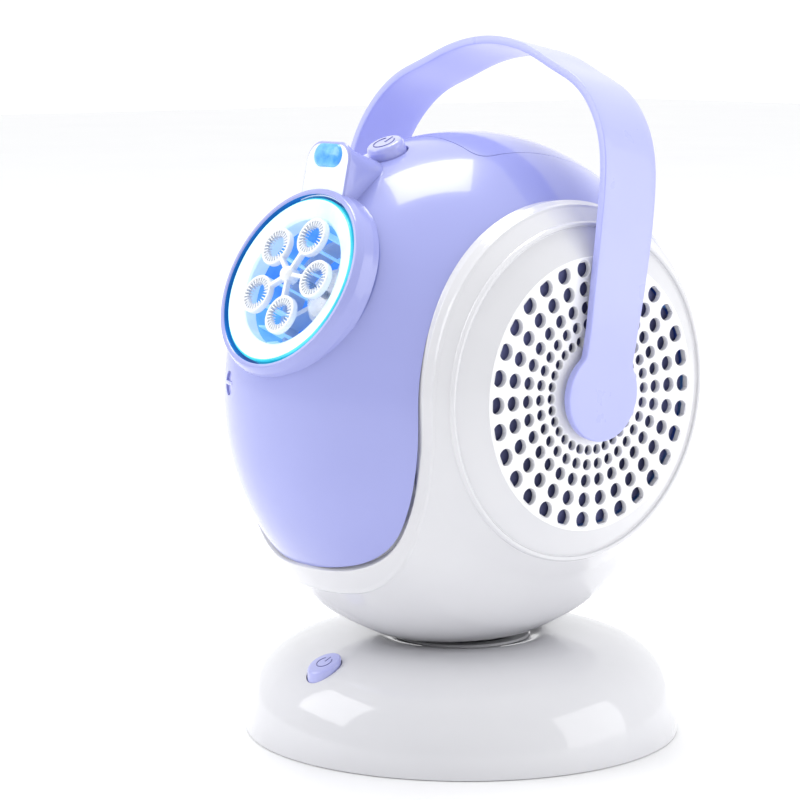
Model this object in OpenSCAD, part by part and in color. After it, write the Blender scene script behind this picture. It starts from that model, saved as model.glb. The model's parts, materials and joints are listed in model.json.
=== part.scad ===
// Bubble machine: a ball-shaped head with a wand wheel in its mouth, hung over a round
// turntable base, with a carrying bail on the side pivots.
// Millimetres. +Z is up, the mouth faces -Y, the pivots lie on the X axis direction.
// The origin is the centre of the footprint, on the surface the feet stand on.

/* [Base] */
// Outside diameter of the base
base_d = 169; // [120:1:220]
// Height of the top face of the base
base_top = 38; // [30:0.5:60]
// Wall thickness of the base dome
base_wall = 2.4; // [1.5:0.1:4]
// Diameter of the rubber feet
foot_d = 14; // [8:0.5:24]

/* [Head] */
// Height of the side pivots above the table
pivot_z = 138.3; // [110:0.1:180]
// Radius of the coloured saddle, seen from the side
saddle_r = 98.2; // [70:0.1:130]
// Half width of the coloured saddle
saddle_half_w = 80; // [60:0.5:110]
// Radius of the white cradle, seen from the side
cradle_r = 99.8; // [70:0.1:130]
// Half width of the white cradle
cradle_half_w = 82; // [60:0.5:110]
// Wall thickness of the head shells
head_wall = 2.4; // [1.5:0.1:4]
// Gap between the saddle and the cradle
shell_gap = 0.8; // [0.3:0.1:1.5]

/* [Side grilles] */
// Radius of the perforated field
grille_field_r = 50.3; // [30:0.1:60]
// Radius of the removable grille cover
grille_cover_r = 62; // [50:0.1:68]
// Distance of the grille face from the middle plane
grille_x = 73; // [60:0.1:90]
// Holes in each ring of the grille
grille_holes = 30; // [12:1:48]

/* [Mouth] */
// Upward tilt of the mouth axis, degrees
mouth_tilt = 26.6; // [0:0.1:60]
// Distance of the light ring face from the pivot axis
mouth_d = 94.3; // [80:0.1:120]
// Outer radius of the light ring
light_r = 32.5; // [20:0.1:45]
// Inner radius of the air duct
duct_r = 25; // [15:0.1:35]

/* [Wand wheel] */
// Number of wand loops
loops = 5; // [3:1:8]
// Radius of the circle the loop centres lie on
loop_circle_r = 16.2; // [8:0.1:25]
// Outer radius of one loop
loop_r = 7.4; // [3:0.1:12]

/* [Handle] */
// Backward lean of the handle at rest, degrees
handle_lean = 11; // [-60:1:60]
// Thickness of the handle strap
strap_t = 3.2; // [2:0.1:6]
// Radius of the round strap ends
strap_end_r = 17; // [10:0.5:25]

/* [Buttons] */
// Diameter of the power button on the head
top_button_d = 14.4; // [8:0.1:25]
// Diameter of the button on the base
base_button_d = 12.8; // [8:0.1:25]

/* [Hidden] */

$fn = 64;
eps = 0.01;

purple = [0.68, 0.70, 0.92];
white = [0.95, 0.95, 0.97];
rubber = [0.30, 0.30, 0.32];
steel = [0.70, 0.71, 0.74];
board_green = [0.10, 0.42, 0.28];
cell_blue = [0.20, 0.42, 0.75];
glow_blue = [0.45, 0.85, 1.00];

// Base heights
shell_foot_z = 0.3;
plate_z0 = 1.8;
plate_z1 = 4.2;
plate_r = 81.7;
base_floor_z = 1.4;
neck_face_z = 36;
neck_hole_r = 18.2;
base_screw_r = 1.5;
foot_ring_r = 62;
base_screw_ring_r = 71;
swivel_gear_z0 = 14;
swivel_gear_h = 6;
swivel_module = 1.2;
swivel_gear_teeth = 40;
swivel_pinion_teeth = 12;
shaft_r = 1.5;
shaft_play = 0.05;
swivel_centre = swivel_module * (swivel_gear_teeth + swivel_pinion_teeth) / 2 + 0.3;

// Neck
spindle_r = 15;
spindle_bore_r = 11;
spindle_z0 = 12;
neck_seat_z = 42;

// Head centres
saddle_z = 134;
cradle_y = -1;
cradle_z = 133.4;
head_floor_z = 38;
neck_boss_r = 22;
side_circle_r = 70;
collar_r = 37.6;
lid_t = 2;
lid_gap = 0.4;
ledge_w = 3;
tank_z0 = 52;
tank_z1 = 84;
tank_inset = 10;
tank_wall = 1.8;
cover_z1 = 86;
funnel_y = 40;
pin_r = 3;
pin_outer_x = 77;

// Buttons and boards
base_button_y = -68.4;
base_button_z0 = 24;
base_button_face_z = 34.9;
base_button_slope = 24;
base_switch_shift = 3;
base_board_z = 14;
board_t = 1.6;
top_button_y = -37.3;
top_button_z = 224.4;
top_button_tilt = 24.7;
top_button_depth = 12.8;

// Brow over the mouth: its front face leans back
brow_foot_y = -68.5;
brow_foot_z = 211.3;
brow_lean = 12.2;
brow_z0 = 196;
brow_top_z = 229.9;
brow_half_w = 12.5;
brow_corner = 7;
lens_z = 224.9;
lens_half_w = 8;
lens_half_h = 4.4;

// Wand wheel: distance along the mouth axis, rise above that axis, turn of the loops
wheel_d = 92;
wheel_rise = 1.4;
wheel_turn = -2.6;
wheel_hub_r = 3;

// Outline of the base dome at its nominal size: radius, height, from the foot to the top face
nominal_base_d = 169;
nominal_base_top = 38;
nominal_base_outline = [
  [84.5, 0.3], [84.4, 5], [84.0, 9], [83.3, 13.3], [82.3, 16.6], [81.0, 19.8], [79.4, 22.8],
  [77.6, 25.4], [75.4, 27.8], [72.9, 30.0], [70.0, 31.9], [66.8, 33.6], [63.2, 35.0],
  [59.2, 36.1], [54.6, 37.0], [49.0, 37.6], [42.0, 38.0], [34.0, 38.0], [30.0, 37.4],
  [27.4, 36.2], [25.0, 36.0]
];
base_outline = [for (p = nominal_base_outline)
  [p[0] * base_d / nominal_base_d, p[1] * base_top / nominal_base_top]];

// Half outline of the front panel, seen from the front: half width, height
panel_outline = [
  [0, 75.2], [9, 75.2], [18.3, 75.6], [26.8, 77.5], [33, 80.3], [37.8, 83.5], [42, 87.2],
  [45.6, 91.4], [49.4, 97.2], [52.5, 104.2], [54.8, 110.4], [56.3, 116.5], [57.5, 126],
  [58.2, 134], [60.5, 146], [66, 160], [80, 185], [110, 250]
];
rear_panel_raise = 22;

// Half outline of the outer face of the handle: half width, height above the pivots
handle_outline = [
  [0, 130.2], [7, 129.9], [14, 128.9], [20.5, 127.4], [26.5, 125.5], [31.8, 123.3],
  [36.7, 121.1], [44, 118.4], [48, 117.1], [51.8, 115.3], [55.8, 112.8], [59.4, 109.9],
  [62.7, 106.8], [65.6, 103.3], [68.3, 99.6], [70.6, 95.6], [72.7, 90.5], [74.3, 85],
  [75.6, 78], [76.4, 70], [77.2, 60], [77.8, 48], [78.3, 34], [78.6, 20], [78.6, 0]
];

// Half outline of the handle leg seen from the side: half width, height above the pivots
leg_outline = [
  [13.2, 140], [13.2, 60], [12.8, 40], [12.2, 30], [11.9, 25], [12.2, 20], [13.2, 15], [14, 9], [0, -4]
];

// ---------------------------------------------------------------- helpers

// Places children with their +Z on the +X axis direction
module along_x() { rotate([0, 90, 0]) children(); }

// Places children with their +Z on the -Y axis direction
module along_front() { rotate([90, 0, 0]) children(); }

// Mouth frame: +Z runs out of the mouth, the origin is on the pivot axis
module mouth_frame() {
  translate([0, 0, pivot_z]) rotate([90 - mouth_tilt, 0, 0]) children();
}

module ring(r_out, r_in, h) {
  difference() {
    cylinder(r = r_out, h = h);
    translate([0, 0, -1]) cylinder(r = r_in, h = h + 2);
  }
}

// Ball flattened along X: radius r seen from the side, half width half_w
module ball(r, half_w) {
  steps = 26;
  along_x() rotate_extrude($fn = 96)
    polygon([for (i = [0 : steps]) let (a = -90 + 180 * i / steps) [max(0, r * cos(a)), half_w * sin(a)]]);
}

module saddle_ball(inset) {
  translate([0, 0, saddle_z]) ball(saddle_r - inset, saddle_half_w - inset);
}

module cradle_ball(inset) {
  translate([0, cradle_y, cradle_z]) ball(cradle_r - inset, cradle_half_w - inset);
}

module box_between(a, b) {
  translate(a) cube([b[0] - a[0], b[1] - a[1], b[2] - a[2]]);
}

module spur_gear(teeth, module_size, h) {
  pitch_r = teeth * module_size / 2;
  outer_r = pitch_r + module_size * 0.9;
  root_r = pitch_r - module_size * 1.1;
  step = 360 / teeth;
  linear_extrude(height = h)
    polygon([for (i = [0 : teeth - 1]) for (k = [0 : 3])
      let (r = (k == 1 || k == 2) ? outer_r : root_r,
           a = i * step + [-0.30, -0.14, 0.14, 0.30][k] * step)
      [r * cos(a), r * sin(a)]]);
}

// Point of an outline moved inwards along its local normal
function outline_step(p, i) = p[min(i + 1, len(p) - 1)] - p[max(i - 1, 0)];
function inward(p, i, t) =
  let (s = outline_step(p, i), n = norm(s)) p[i] + [s[1], -s[0]] * t / n;

function mirrored(p) = concat(p, [for (i = [len(p) - 1 : -1 : 0]) [-p[i][0], p[i][1]]]);

// Solid the saddle is cut from; gap shrinks it on every side
module saddle_zone(gap) {
  difference() {
    union() {
      panel_prism(0, gap, false);
      panel_prism(rear_panel_raise, gap, true);
    }
    for (s = [-1, 1])
      translate([s * 75, 0, pivot_z]) along_x()
        cylinder(r = side_circle_r + gap, h = 90, center = true, $fn = 96);
  }
}

module panel_prism(raise, gap, rear) {
  front = mirrored(panel_outline);
  y0 = rear ? -0.5 : -120;
  y1 = rear ? 120 : 0;
  translate([0, y1, 0]) along_front()
    linear_extrude(height = y1 - y0)
      polygon([for (q = front) [q[0] - sign(q[0]) * gap, q[1] + gap + raise * panel_fade(q[1])]]);
}

// The rear panel edge is raised most at the bottom and not at all above the pivots
function panel_fade(z) = max(0, min(1, (170 - z) / 90));

// ---------------------------------------------------------------- base

module base_solid(inset) {
  points = [for (i = [0 : len(base_outline) - 1]) inward(base_outline, i, -inset)];
  rotate_extrude($fn = 128)
    polygon(concat([[0, shell_foot_z]], points, [[0, neck_face_z - inset]]));
}

module base_button_solid(grow, z0, z1) {
  translate([0, base_button_y, z0]) cylinder(r = base_button_d / 2 + grow, h = z1 - z0);
}

module at_base_screws() {
  for (a = [45 : 90 : 359]) rotate(a) translate([base_screw_ring_r, 0, 0]) children();
}

module at_feet() {
  children();
  for (a = [0 : 90 : 359]) rotate(a + 20) translate([foot_ring_r, 0, 0]) children();
}

module base_shell() {
  color(white) {
    difference() {
      base_solid(0);
      base_inside();
      base_button_solid(0.4, 10, 60);
      translate([0, 0, 30]) cylinder(r = neck_hole_r, h = 20);
      translate([0, 84, 12]) cube([11, 20, 5], center = true);
    }
    base_screw_bosses();
  }
}

module base_inside() {
  rise = base_top - base_floor_z;
  points = [for (p = base_outline) [p[0] - base_wall, p[1] - base_wall * max(0, p[1] - base_floor_z) / rise]];
  rotate_extrude($fn = 128)
    polygon(concat([[0, -1], [points[0][0], -1]], points, [[0, neck_face_z - base_wall]]));
}

module base_screw_bosses() {
  intersection() {
    difference() {
      at_base_screws() translate([0, 0, plate_z1]) cylinder(r = 4.2, h = 30);
      at_base_screws() translate([0, 0, plate_z1 - 1]) cylinder(r = base_screw_r, h = 13, $fn = 32);
    }
    base_solid(0.6);
  }
}

module base_plate() {
  color(white) difference() {
    union() {
      translate([0, 0, plate_z0]) cylinder(r = plate_r, h = plate_z1 - plate_z0, $fn = 128);
      base_plate_posts();
    }
    at_base_screws() cylinder(r = base_screw_r + 0.2, h = 8, $fn = 32);
    at_base_screws() cylinder(r = 3.4, h = 3.0, $fn = 32);
    at_feet() cylinder(r = foot_d / 2 - 2, h = 8);
  }
}

module base_plate_posts() {
  for (x = [-18, 18], y = [-60, -48])
    translate([x, y, plate_z1 - 0.2]) cylinder(r = 2.5, h = base_board_z - plate_z1 + 0.2, $fn = 32);
  translate([swivel_centre, 0, plate_z1 - 0.2]) cylinder(r = 3, h = 6, $fn = 32);
}

module base_feet() {
  color(rubber) at_feet() {
    cylinder(r = foot_d / 2, h = plate_z0);
    translate([0, 0, plate_z0 - eps]) cylinder(r = foot_d / 2 - 2, h = plate_z1 - plate_z0);
  }
}

module base_screws() {
  color(steel) at_base_screws() {
    translate([0, 0, 1.2]) cylinder(r = 2.8, h = 1.8, $fn = 32);
    translate([0, 0, 2.9]) cylinder(r = base_screw_r, h = 11, $fn = 32);
  }
}

module neck_ring() {
  color(white) rotate_extrude($fn = 96)
    polygon([[21.5, 36.0], [24.9, 36.0], [26.2, 36.25], [26.8, 36.55], [26.8, 36.9], [26.2, 37.3], [21.5, 37.3]]);
}

module neck_bearing() {
  color(rubber) rotate_extrude($fn = 96)
    polygon([[15.08, 24], [18.1, 24], [18.1, 36.0], [20.8, 36.0], [20.8, 37.2], [15.08, 37.2]]);
}

module base_button() {
  color(purple) difference() {
    union() {
      base_button_solid(0, base_button_z0, base_top + 2);
      translate([0, base_button_y + base_switch_shift, base_button_z0 - 2.6]) cylinder(r = 2.5, h = 3, $fn = 32);
    }
    base_button_top_cut();
  }
}

module base_button_top_cut() {
  translate([0, base_button_y, base_button_face_z]) rotate([base_button_slope, 0, 0])
    translate([-20, -30, 0]) cube([40, 60, 20]);
}

module base_board() {
  color(board_green) box_between([-22, -74, base_board_z], [22, -44, base_board_z + board_t]);
}

module base_switch() {
  y = base_button_y + base_switch_shift;
  z = base_board_z + board_t;
  color(rubber) {
    box_between([-3, y - 3, z], [3, y + 3, z + 3.2]);
    translate([0, y, z + 3.1]) cylinder(r = 1.75, h = 0.9, $fn = 32);
  }
}

module battery_tray() {
  color(white) difference() {
    box_between([-36, 25.5, plate_z1], [36, 68.5, 13]);
    for (y = [37, 57]) translate([-34, y, 15.2]) along_x() cylinder(r = 9.4, h = 68);
  }
}

module battery_cells() {
  color(cell_blue) for (y = [37, 57])
    translate([-33, y, 15.2]) along_x() cylinder(r = 9.2, h = 65);
}

module charge_port() {
  color(steel) difference() {
    box_between([-4.6, 75, 10.2], [4.6, 82.4, 13.6]);
    box_between([-4.1, 76.5, 10.7], [4.1, 90, 13.1]);
  }
  color(board_green) box_between([-9, 72, 8.6], [9, 80.5, 10.2]);
  color(white) box_between([-6, 72, 4.2], [6, 78, 8.6]);
}

module swivel_motor() {
  color(steel) translate([swivel_centre, 0, 21.4]) difference() {
    cylinder(r = 10, h = 11.6);
    translate([0, 0, -1]) cylinder(r = shaft_r + shaft_play, h = 4, $fn = 32);
  }
}

module pinion_shaft() {
  color(steel) translate([swivel_centre, 0, 11]) cylinder(r = shaft_r, h = 12.4, $fn = 32);
}

module swivel_pinion() {
  color(white) translate([swivel_centre, 0, swivel_gear_z0]) rotate(180 / swivel_pinion_teeth + 180)
    difference() {
      spur_gear(swivel_pinion_teeth, swivel_module, swivel_gear_h);
      translate([0, 0, -1]) cylinder(r = shaft_r, h = 10, $fn = 32);
    }
}

module swivel_gear() {
  color(white) translate([0, 0, swivel_gear_z0]) difference() {
    spur_gear(swivel_gear_teeth, swivel_module, swivel_gear_h);
    translate([0, 0, -1]) cylinder(r = spindle_r, h = 10);
  }
}

module spindle() {
  color(rubber) rotate_extrude($fn = 96)
    polygon([
      [spindle_bore_r, spindle_z0], [spindle_r, spindle_z0], [spindle_r, neck_seat_z],
      [21, neck_seat_z], [21, neck_seat_z + 2.4], [spindle_bore_r, neck_seat_z + 2.4]
    ]);
}

// ---------------------------------------------------------------- head shells

module cradle() {
  color(white) {
    difference() {
      cradle_ball(0);
      cradle_ball(head_wall);
      saddle_zone(0);
      box_between([-60, -60, 0], [60, 60, head_floor_z]);
      for (s = [-1, 1])
        translate([s * 80, 0, pivot_z]) along_x()
          cylinder(r = grille_cover_r + 0.3, h = 60, center = true, $fn = 96);
    }
    neck_boss();
    tank_posts();
  }
}

module neck_boss() {
  difference() {
    translate([0, 0, head_floor_z]) cylinder(r = neck_boss_r, h = neck_seat_z - head_floor_z);
    translate([0, 0, 30]) cylinder(r = spindle_r, h = 20);
  }
}

module tank_posts() {
  difference() {
    for (x = [-16, 16], y = [-20, 20])
      translate([x, y, 36]) cylinder(r = 3.5, h = tank_z0 - 36, $fn = 32);
    difference() {
      box_between([-60, -60, 20], [60, 60, 60]);
      cradle_ball(1);
    }
  }
}

module saddle() {
  color(purple) difference() {
    intersection() {
      difference() {
        saddle_ball(0);
        saddle_ball(head_wall);
      }
      saddle_zone(shell_gap);
    }
    mouth_frame() cylinder(r = collar_r + 0.1, h = 120);
    top_button_frame() translate([0, 0, -top_button_depth]) cylinder(r = top_button_d / 2 + 0.4, h = 30);
    lid_cut(lid_gap);
    plug_frame() translate([0, 0, -8]) cylinder(r = 4.6, h = 20);
  }
  color(purple) {
    lid_ledge();
    board_posts();
  }
}

// Ledge that carries the fill lid
module lid_ledge() {
  difference() {
    intersection() {
      difference() {
        saddle_ball(lid_t + 0.1);
        saddle_ball(lid_t + 2);
      }
      lid_cut(ledge_w);
    }
    lid_cut(-ledge_w);
  }
}

module board_posts() {
  intersection() {
    top_button_frame() for (x = [-17, 17], y = [-9, 10])
      translate([x, y, -top_button_depth]) cylinder(r = 2, h = 20, $fn = 32);
    saddle_ball(1);
  }
}

module top_button_frame() {
  translate([0, top_button_y, top_button_z]) rotate([top_button_tilt, 0, 0]) children();
}

module plug_frame() {
  translate([-25, -90.6, 140]) rotate([90 - 4, 0, -21]) children();
}

// Footprint of the fill lid, seen from above
module lid_cut(grow) {
  r = 7;
  w = 30 + grow;
  y0 = -18 - grow;
  y1 = 52 + grow;
  translate([0, 0, 180]) {
    for (x = [-w + r, w - r], y = [y0 + r, y1 - r])
      translate([x, y, 0]) cylinder(r = r, h = 70);
    translate([-w, y0 + r, 0]) cube([2 * w, y1 - y0 - 2 * r, 70]);
    translate([-w + r, y0, 0]) cube([2 * w - 2 * r, y1 - y0, 70]);
  }
}

module fill_lid() {
  color(purple) intersection() {
    difference() {
      saddle_ball(0);
      saddle_ball(lid_t);
    }
    lid_cut(0);
  }
}

module fill_funnel() {
  color(white) translate([0, funnel_y, 0]) rotate_extrude($fn = 64)
    polygon([
      [7.2, cover_z1], [9, cover_z1], [9, 188], [19, 204], [19, 207], [17.2, 207], [17.2, 204.6], [7.2, 188.6]
    ]);
}

// Frame on the leaning front face of the brow, at the middle of the lens; +Z points out of the face
module brow_face_frame() {
  y = brow_foot_y + (lens_z - brow_foot_z) * tan(brow_lean);
  translate([0, y, lens_z]) rotate([90 - brow_lean, 0, 0]) children();
}

module brow_arch() {
  arch_z = brow_top_z - brow_corner;
  shoulder = brow_half_w - brow_corner;
  for (s = [-1, 1])
    translate([s * shoulder, -40, arch_z]) along_front() cylinder(r = brow_corner, h = 40);
  box_between([-brow_half_w, -80, brow_z0], [brow_half_w, -40, arch_z]);
  box_between([-shoulder, -80, brow_z0], [shoulder, -40, brow_top_z]);
}

module brow_side() {
  face = [for (z = [brow_z0, brow_top_z + 1]) [-z, brow_foot_y + (z - brow_foot_z) * tan(brow_lean)]];
  translate([-20, 0, 0]) along_x() linear_extrude(height = 40)
    polygon(concat(face, [[-227.6, -59], [-221.6, -42], [-215, -42]]));
}

module lens_form(z0, z1) {
  straight = lens_half_w - lens_half_h;
  brow_face_frame() translate([0, 0, z0]) {
    for (s = [-1, 1]) translate([s * straight, 0, 0]) cylinder(r = lens_half_h, h = z1 - z0);
    translate([-straight, -lens_half_h, 0]) cube([2 * straight, 2 * lens_half_h, z1 - z0]);
  }
}

module brow() {
  color(purple) difference() {
    intersection() {
      brow_arch();
      brow_side();
    }
    saddle_ball(-0.02);
    mouth_frame() cylinder(r = collar_r + 0.1, h = 120);
    top_button_frame() translate([0, 0, -top_button_depth]) cylinder(r = top_button_d / 2 + 0.6, h = 30);
    lens_form(-5, 20);
  }
}

module brow_lens() {
  color(glow_blue) lens_form(-5, 0.9);
}

module mouth_collar() {
  color(purple) mouth_frame() rotate_extrude($fn = 96)
    polygon([
      [33.2, 84], [collar_r, 84], [collar_r, 88.5], [37.3, 90.6], [36.7, 92.6], [35.9, 94.1], [35, 95.0],
      [34.2, 95.1], [33.7, 94.6], [33.7, 87.4], [33.2, 86.8]
    ]);
}

module light_ring() {
  color(glow_blue) mouth_frame() rotate_extrude($fn = 96)
    polygon([
      [light_r, mouth_d - 1], [light_r - 0.6, mouth_d], [light_r - 1.6, mouth_d], [25.4, mouth_d - 1.4],
      [24.7, mouth_d - 2.1], [24.7, 87], [26.2, 87], [26.2, mouth_d - 2.8], [light_r - 1.4, mouth_d - 1.8],
      [light_r - 1.4, 87], [light_r, 87]
    ]);
}

module led_board() {
  color(board_green) mouth_frame() translate([0, 0, 84]) ring(33.1, 26.9, 1.4);
}

module leds() {
  color(glow_blue) mouth_frame() for (i = [0 : 11]) rotate(i * 30)
    translate([29.6, 0, 86]) cube([2.4, 2.4, 1.2], center = true);
}

// ---------------------------------------------------------------- side grilles

// Radius and hole radius of every ring of the perforated field
grille_rings = [[46.6, 3.1], [39.1, 2.75], [32.1, 2.4], [26.1, 2.05], [20.7, 1.8]];
grille_phase = 6.3;
grille_screw_ring_r = 57;
grille_screw_r = 1.5;

module grille_body() {
  rotate_extrude($fn = 96) polygon([
    [0, 67.2], [8, 67.2], [8, 70.6], [49.2, 70.4], [grille_cover_r - 1.2, 63.4], [grille_cover_r, 62.2],
    [grille_cover_r, 65.6], [grille_cover_r - 0.8, 66.2], [grille_field_r, grille_x - 0.6],
    [18, grille_x], [14, grille_x - 0.8], [9, grille_x - 0.8], [9, grille_x + 1.6], [0, grille_x + 1.6]
  ]);
}

module grille_cover() {
  color(white) difference() {
    translate([0, 0, pivot_z]) along_x() grille_body();
    translate([0, 0, pivot_z]) rotate([grille_phase, 0, 0]) grille_hole_field();
    translate([60, 0, pivot_z]) along_x() cylinder(r = pin_r + shaft_play, h = 30, $fn = 48);
    for (a = [60 : 120 : 359]) translate([0, 0, pivot_z]) rotate([a, 0, 0]) translate([50, 0, grille_screw_ring_r])
      along_x() cylinder(r = grille_screw_r + 0.1, h = 30, $fn = 32);
  }
}

module grille_hole_field() {
  for (q = grille_rings, i = [0 : grille_holes - 1])
    rotate([i * 360 / grille_holes, 0, 0]) translate([60, 0, q[0]])
      along_x() cylinder(r = q[1], h = 20, $fn = 24);
}

module grille_right() { grille_cover(); }

module grille_left() { mirror([1, 0, 0]) grille_cover(); }

// Fine screens behind the perforated fields, on the grille hubs
module dust_screens() {
  color(rubber) for (s = [0, 1]) mirror([s, 0, 0])
    translate([0, 0, pivot_z]) along_x() translate([0, 0, grille_x - 4]) ring(48.5, 8.1, 0.6);
}

module grille_screws() {
  color(steel) for (s = [0, 1]) mirror([s, 0, 0])
    for (a = [60 : 120 : 359]) translate([0, 0, pivot_z]) rotate([a, 0, 0]) translate([60, 0, grille_screw_ring_r])
      along_x() cylinder(r = grille_screw_r, h = 7.6, $fn = 32);
}

// ---------------------------------------------------------------- controls

module top_button() {
  color(purple) top_button_frame() {
    cylinder(r = top_button_d / 2, h = 3.6);
    translate([0, 0, 3.59]) cylinder(r1 = top_button_d / 2, r2 = top_button_d / 2 - 0.8, h = 1);
    translate([0, 0, -6]) cylinder(r = top_button_d / 2, h = 6.01);
    translate([0, 0, -7.2]) cylinder(r = 2.2, h = 1.21, $fn = 32);
  }
}

module top_switch() {
  color(rubber) top_button_frame() {
    translate([-3, -3, -top_button_depth]) cube([6, 6, 3.6]);
    translate([0, 0, -9.21]) cylinder(r = 1.7, h = 0.4, $fn = 32);
  }
}

module main_board() {
  color(board_green) top_button_frame() translate([-20, -12, -top_button_depth - board_t]) cube([40, 30, board_t]);
}

module turn_plug() {
  color(purple) plug_frame() {
    translate([0, 0, -4]) cylinder(r = 4.3, h = 4);
    translate([-4, -0.8, -0.1]) cube([8, 1.6, 2.3]);
  }
}

// ---------------------------------------------------------------- inside the head

module soap_tank() {
  color(glow_blue) difference() {
    tank_form(tank_inset, tank_z0, tank_z1);
    tank_form(tank_inset + tank_wall, tank_z0 + tank_wall, tank_z1 + 10);
  }
}

module tank_cover() {
  color(white) difference() {
    tank_form(tank_inset, tank_z1, cover_z1);
    translate([0, funnel_y, 80]) cylinder(r = 7.2, h = 10);
  }
}

module tank_form(inset, z0, z1) {
  intersection() {
    cradle_ball(inset);
    box_between([-90, -110, z0], [90, 110, z1]);
  }
}

blower_back = 4;
blower_drop = 19;
blower_r = 31;
blower_half_w = 22;
blower_wall = 1.8;

module blower_frame() {
  mouth_frame() translate([0, -blower_drop, -blower_back]) children();
}

module blower_volume(grow) {
  blower_frame() along_x()
    translate([0, 0, -blower_half_w - grow]) cylinder(r = blower_r + grow, h = 2 * (blower_half_w + grow));
  mouth_frame() translate([0, 0, 10]) cylinder(r = duct_r + grow, h = 77);
}

module blower_housing() {
  color(white) difference() {
    union() {
      blower_volume(blower_wall);
      for (x = [-16, 16]) box_between([x - 4, -14, cover_z1], [x + 4, 4, 92]);
    }
    blower_volume(0);
    mouth_frame() translate([0, 0, 86]) cylinder(r = 40, h = 20);
    blower_frame() along_x() cylinder(r = 17, h = 40);
    blower_frame() along_x() translate([0, 0, -40]) cylinder(r = 4, h = 40);
  }
}

module blower_impeller() {
  color(white) blower_frame() along_x() {
    difference() {
      union() {
        translate([0, 0, -18]) cylinder(r = 26, h = 1.6);
        translate([0, 0, 16.4]) ring(26, 18, 1.6);
        translate([0, 0, -18]) cylinder(r = 4, h = 20);
        for (i = [0 : 15]) rotate(i * 22.5) translate([18.5, -0.6, -17]) rotate(20) cube([7, 1.2, 34]);
      }
      translate([0, 0, -19]) cylinder(r = 1, h = 24, $fn = 32);
    }
  }
}

module blower_shaft() {
  color(steel) blower_frame() along_x() translate([0, 0, -27]) cylinder(r = 1, h = 28, $fn = 32);
}

module blower_motor() {
  color(steel) blower_frame() along_x() difference() {
    union() {
      translate([0, 0, -46]) cylinder(r = 12, h = 46 - blower_half_w - blower_wall);
      translate([0, 0, -24]) cylinder(r = 3.4, h = 4);
    }
    translate([0, 0, -28]) cylinder(r = 1 + shaft_play, h = 10, $fn = 32);
  }
}

// Frame on the axis of the wand wheel, a little above the middle of the mouth
module wheel_frame() {
  mouth_frame() translate([0, wheel_rise, 0]) children();
}

module wheel_mount() {
  color(white) {
    mouth_frame() translate([0, 0, 66]) ring(duct_r, duct_r - 1.6, 8);
    wheel_frame() translate([0, 0, 66]) ring(11, 9.2, 8);
    intersection() {
      wheel_frame() for (a = [90 : 120 : 359]) rotate(a) translate([10.4, -1, 66]) cube([20, 2, 8]);
      mouth_frame() cylinder(r = duct_r - 0.8, h = 100);
    }
  }
}

module wheel_motor() {
  color(steel) wheel_frame() difference() {
    translate([0, 0, 48]) cylinder(r = 9.15, h = 28);
    translate([0, 0, 72]) cylinder(r = shaft_r + shaft_play, h = 12, $fn = 32);
  }
}

module wheel_shaft() {
  color(steel) wheel_frame() translate([0, 0, 73]) cylinder(r = shaft_r, h = wheel_d + 2 - 73, $fn = 32);
}

module wand_wheel() {
  color(white) wheel_frame() translate([0, 0, wheel_d]) difference() {
    union() {
      cylinder(r = wheel_hub_r, h = 3.6);
      rotate_extrude($fn = 48)
        polygon([[0, 3.5], [wheel_hub_r, 3.5], [2.8, 4.6], [2.2, 5.4], [1.2, 5.9], [0, 6]]);
      for (i = [0 : loops - 1]) rotate((i - 1) * 360 / loops + wheel_turn) {
        translate([loop_circle_r, 0, 1.4]) ring(loop_r, loop_r - 1.2, 2.6);
        translate([2.4, -0.75, 1.5]) cube([loop_circle_r - loop_r - 1.7, 1.5, 2.4]);
      }
    }
    translate([0, 0, -1]) cylinder(r = shaft_r, h = 3, $fn = 32);
  }
}

module feed_nozzle() {
  color(white) mouth_frame() translate([7, -18.9, 62]) ring(3, 1.8, 20);
}

// ---------------------------------------------------------------- handle

module handle_frame() {
  translate([0, 0, pivot_z]) rotate([-handle_lean, 0, 0]) children();
}

module strap_profile() {
  n = len(handle_outline) - 1;
  outer = handle_outline;
  inner = [for (i = [n : -1 : 0]) inward(handle_outline, i, strap_t)];
  right = concat(outer, inner);
  polygon(right);
  polygon([for (q = right) [-q[0], q[1]]]);
}

module handle() {
  color(purple) handle_frame() difference() {
    union() {
      intersection() {
        translate([0, 20, 0]) along_front() linear_extrude(height = 40) strap_profile();
        translate([-90, 0.9, 0]) along_x() linear_extrude(height = 180)
          polygon([for (q = mirrored(leg_outline)) [-q[1], q[0]]]);
      }
      for (s = [-1, 1]) translate([s * (78.6 - strap_t / 2), 0, 0]) along_x()
        cylinder(r = strap_end_r, h = strap_t, center = true);
    }
    along_x() translate([0, 0, -pin_outer_x]) cylinder(r = pin_r, h = 2 * pin_outer_x, $fn = 48);
  }
}

// Shouldered pins pressed into the strap ends, turning in the grille hubs
module pivot_pins() {
  color(steel) for (s = [0, 1]) mirror([s, 0, 0]) translate([0, 0, pivot_z]) along_x() {
    translate([0, 0, 65]) cylinder(r = pin_r, h = pin_outer_x - 65, $fn = 48);
    translate([0, 0, 65]) cylinder(r = 5.5, h = 2, $fn = 48);
  }
}

// ---------------------------------------------------------------- assembly

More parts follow.
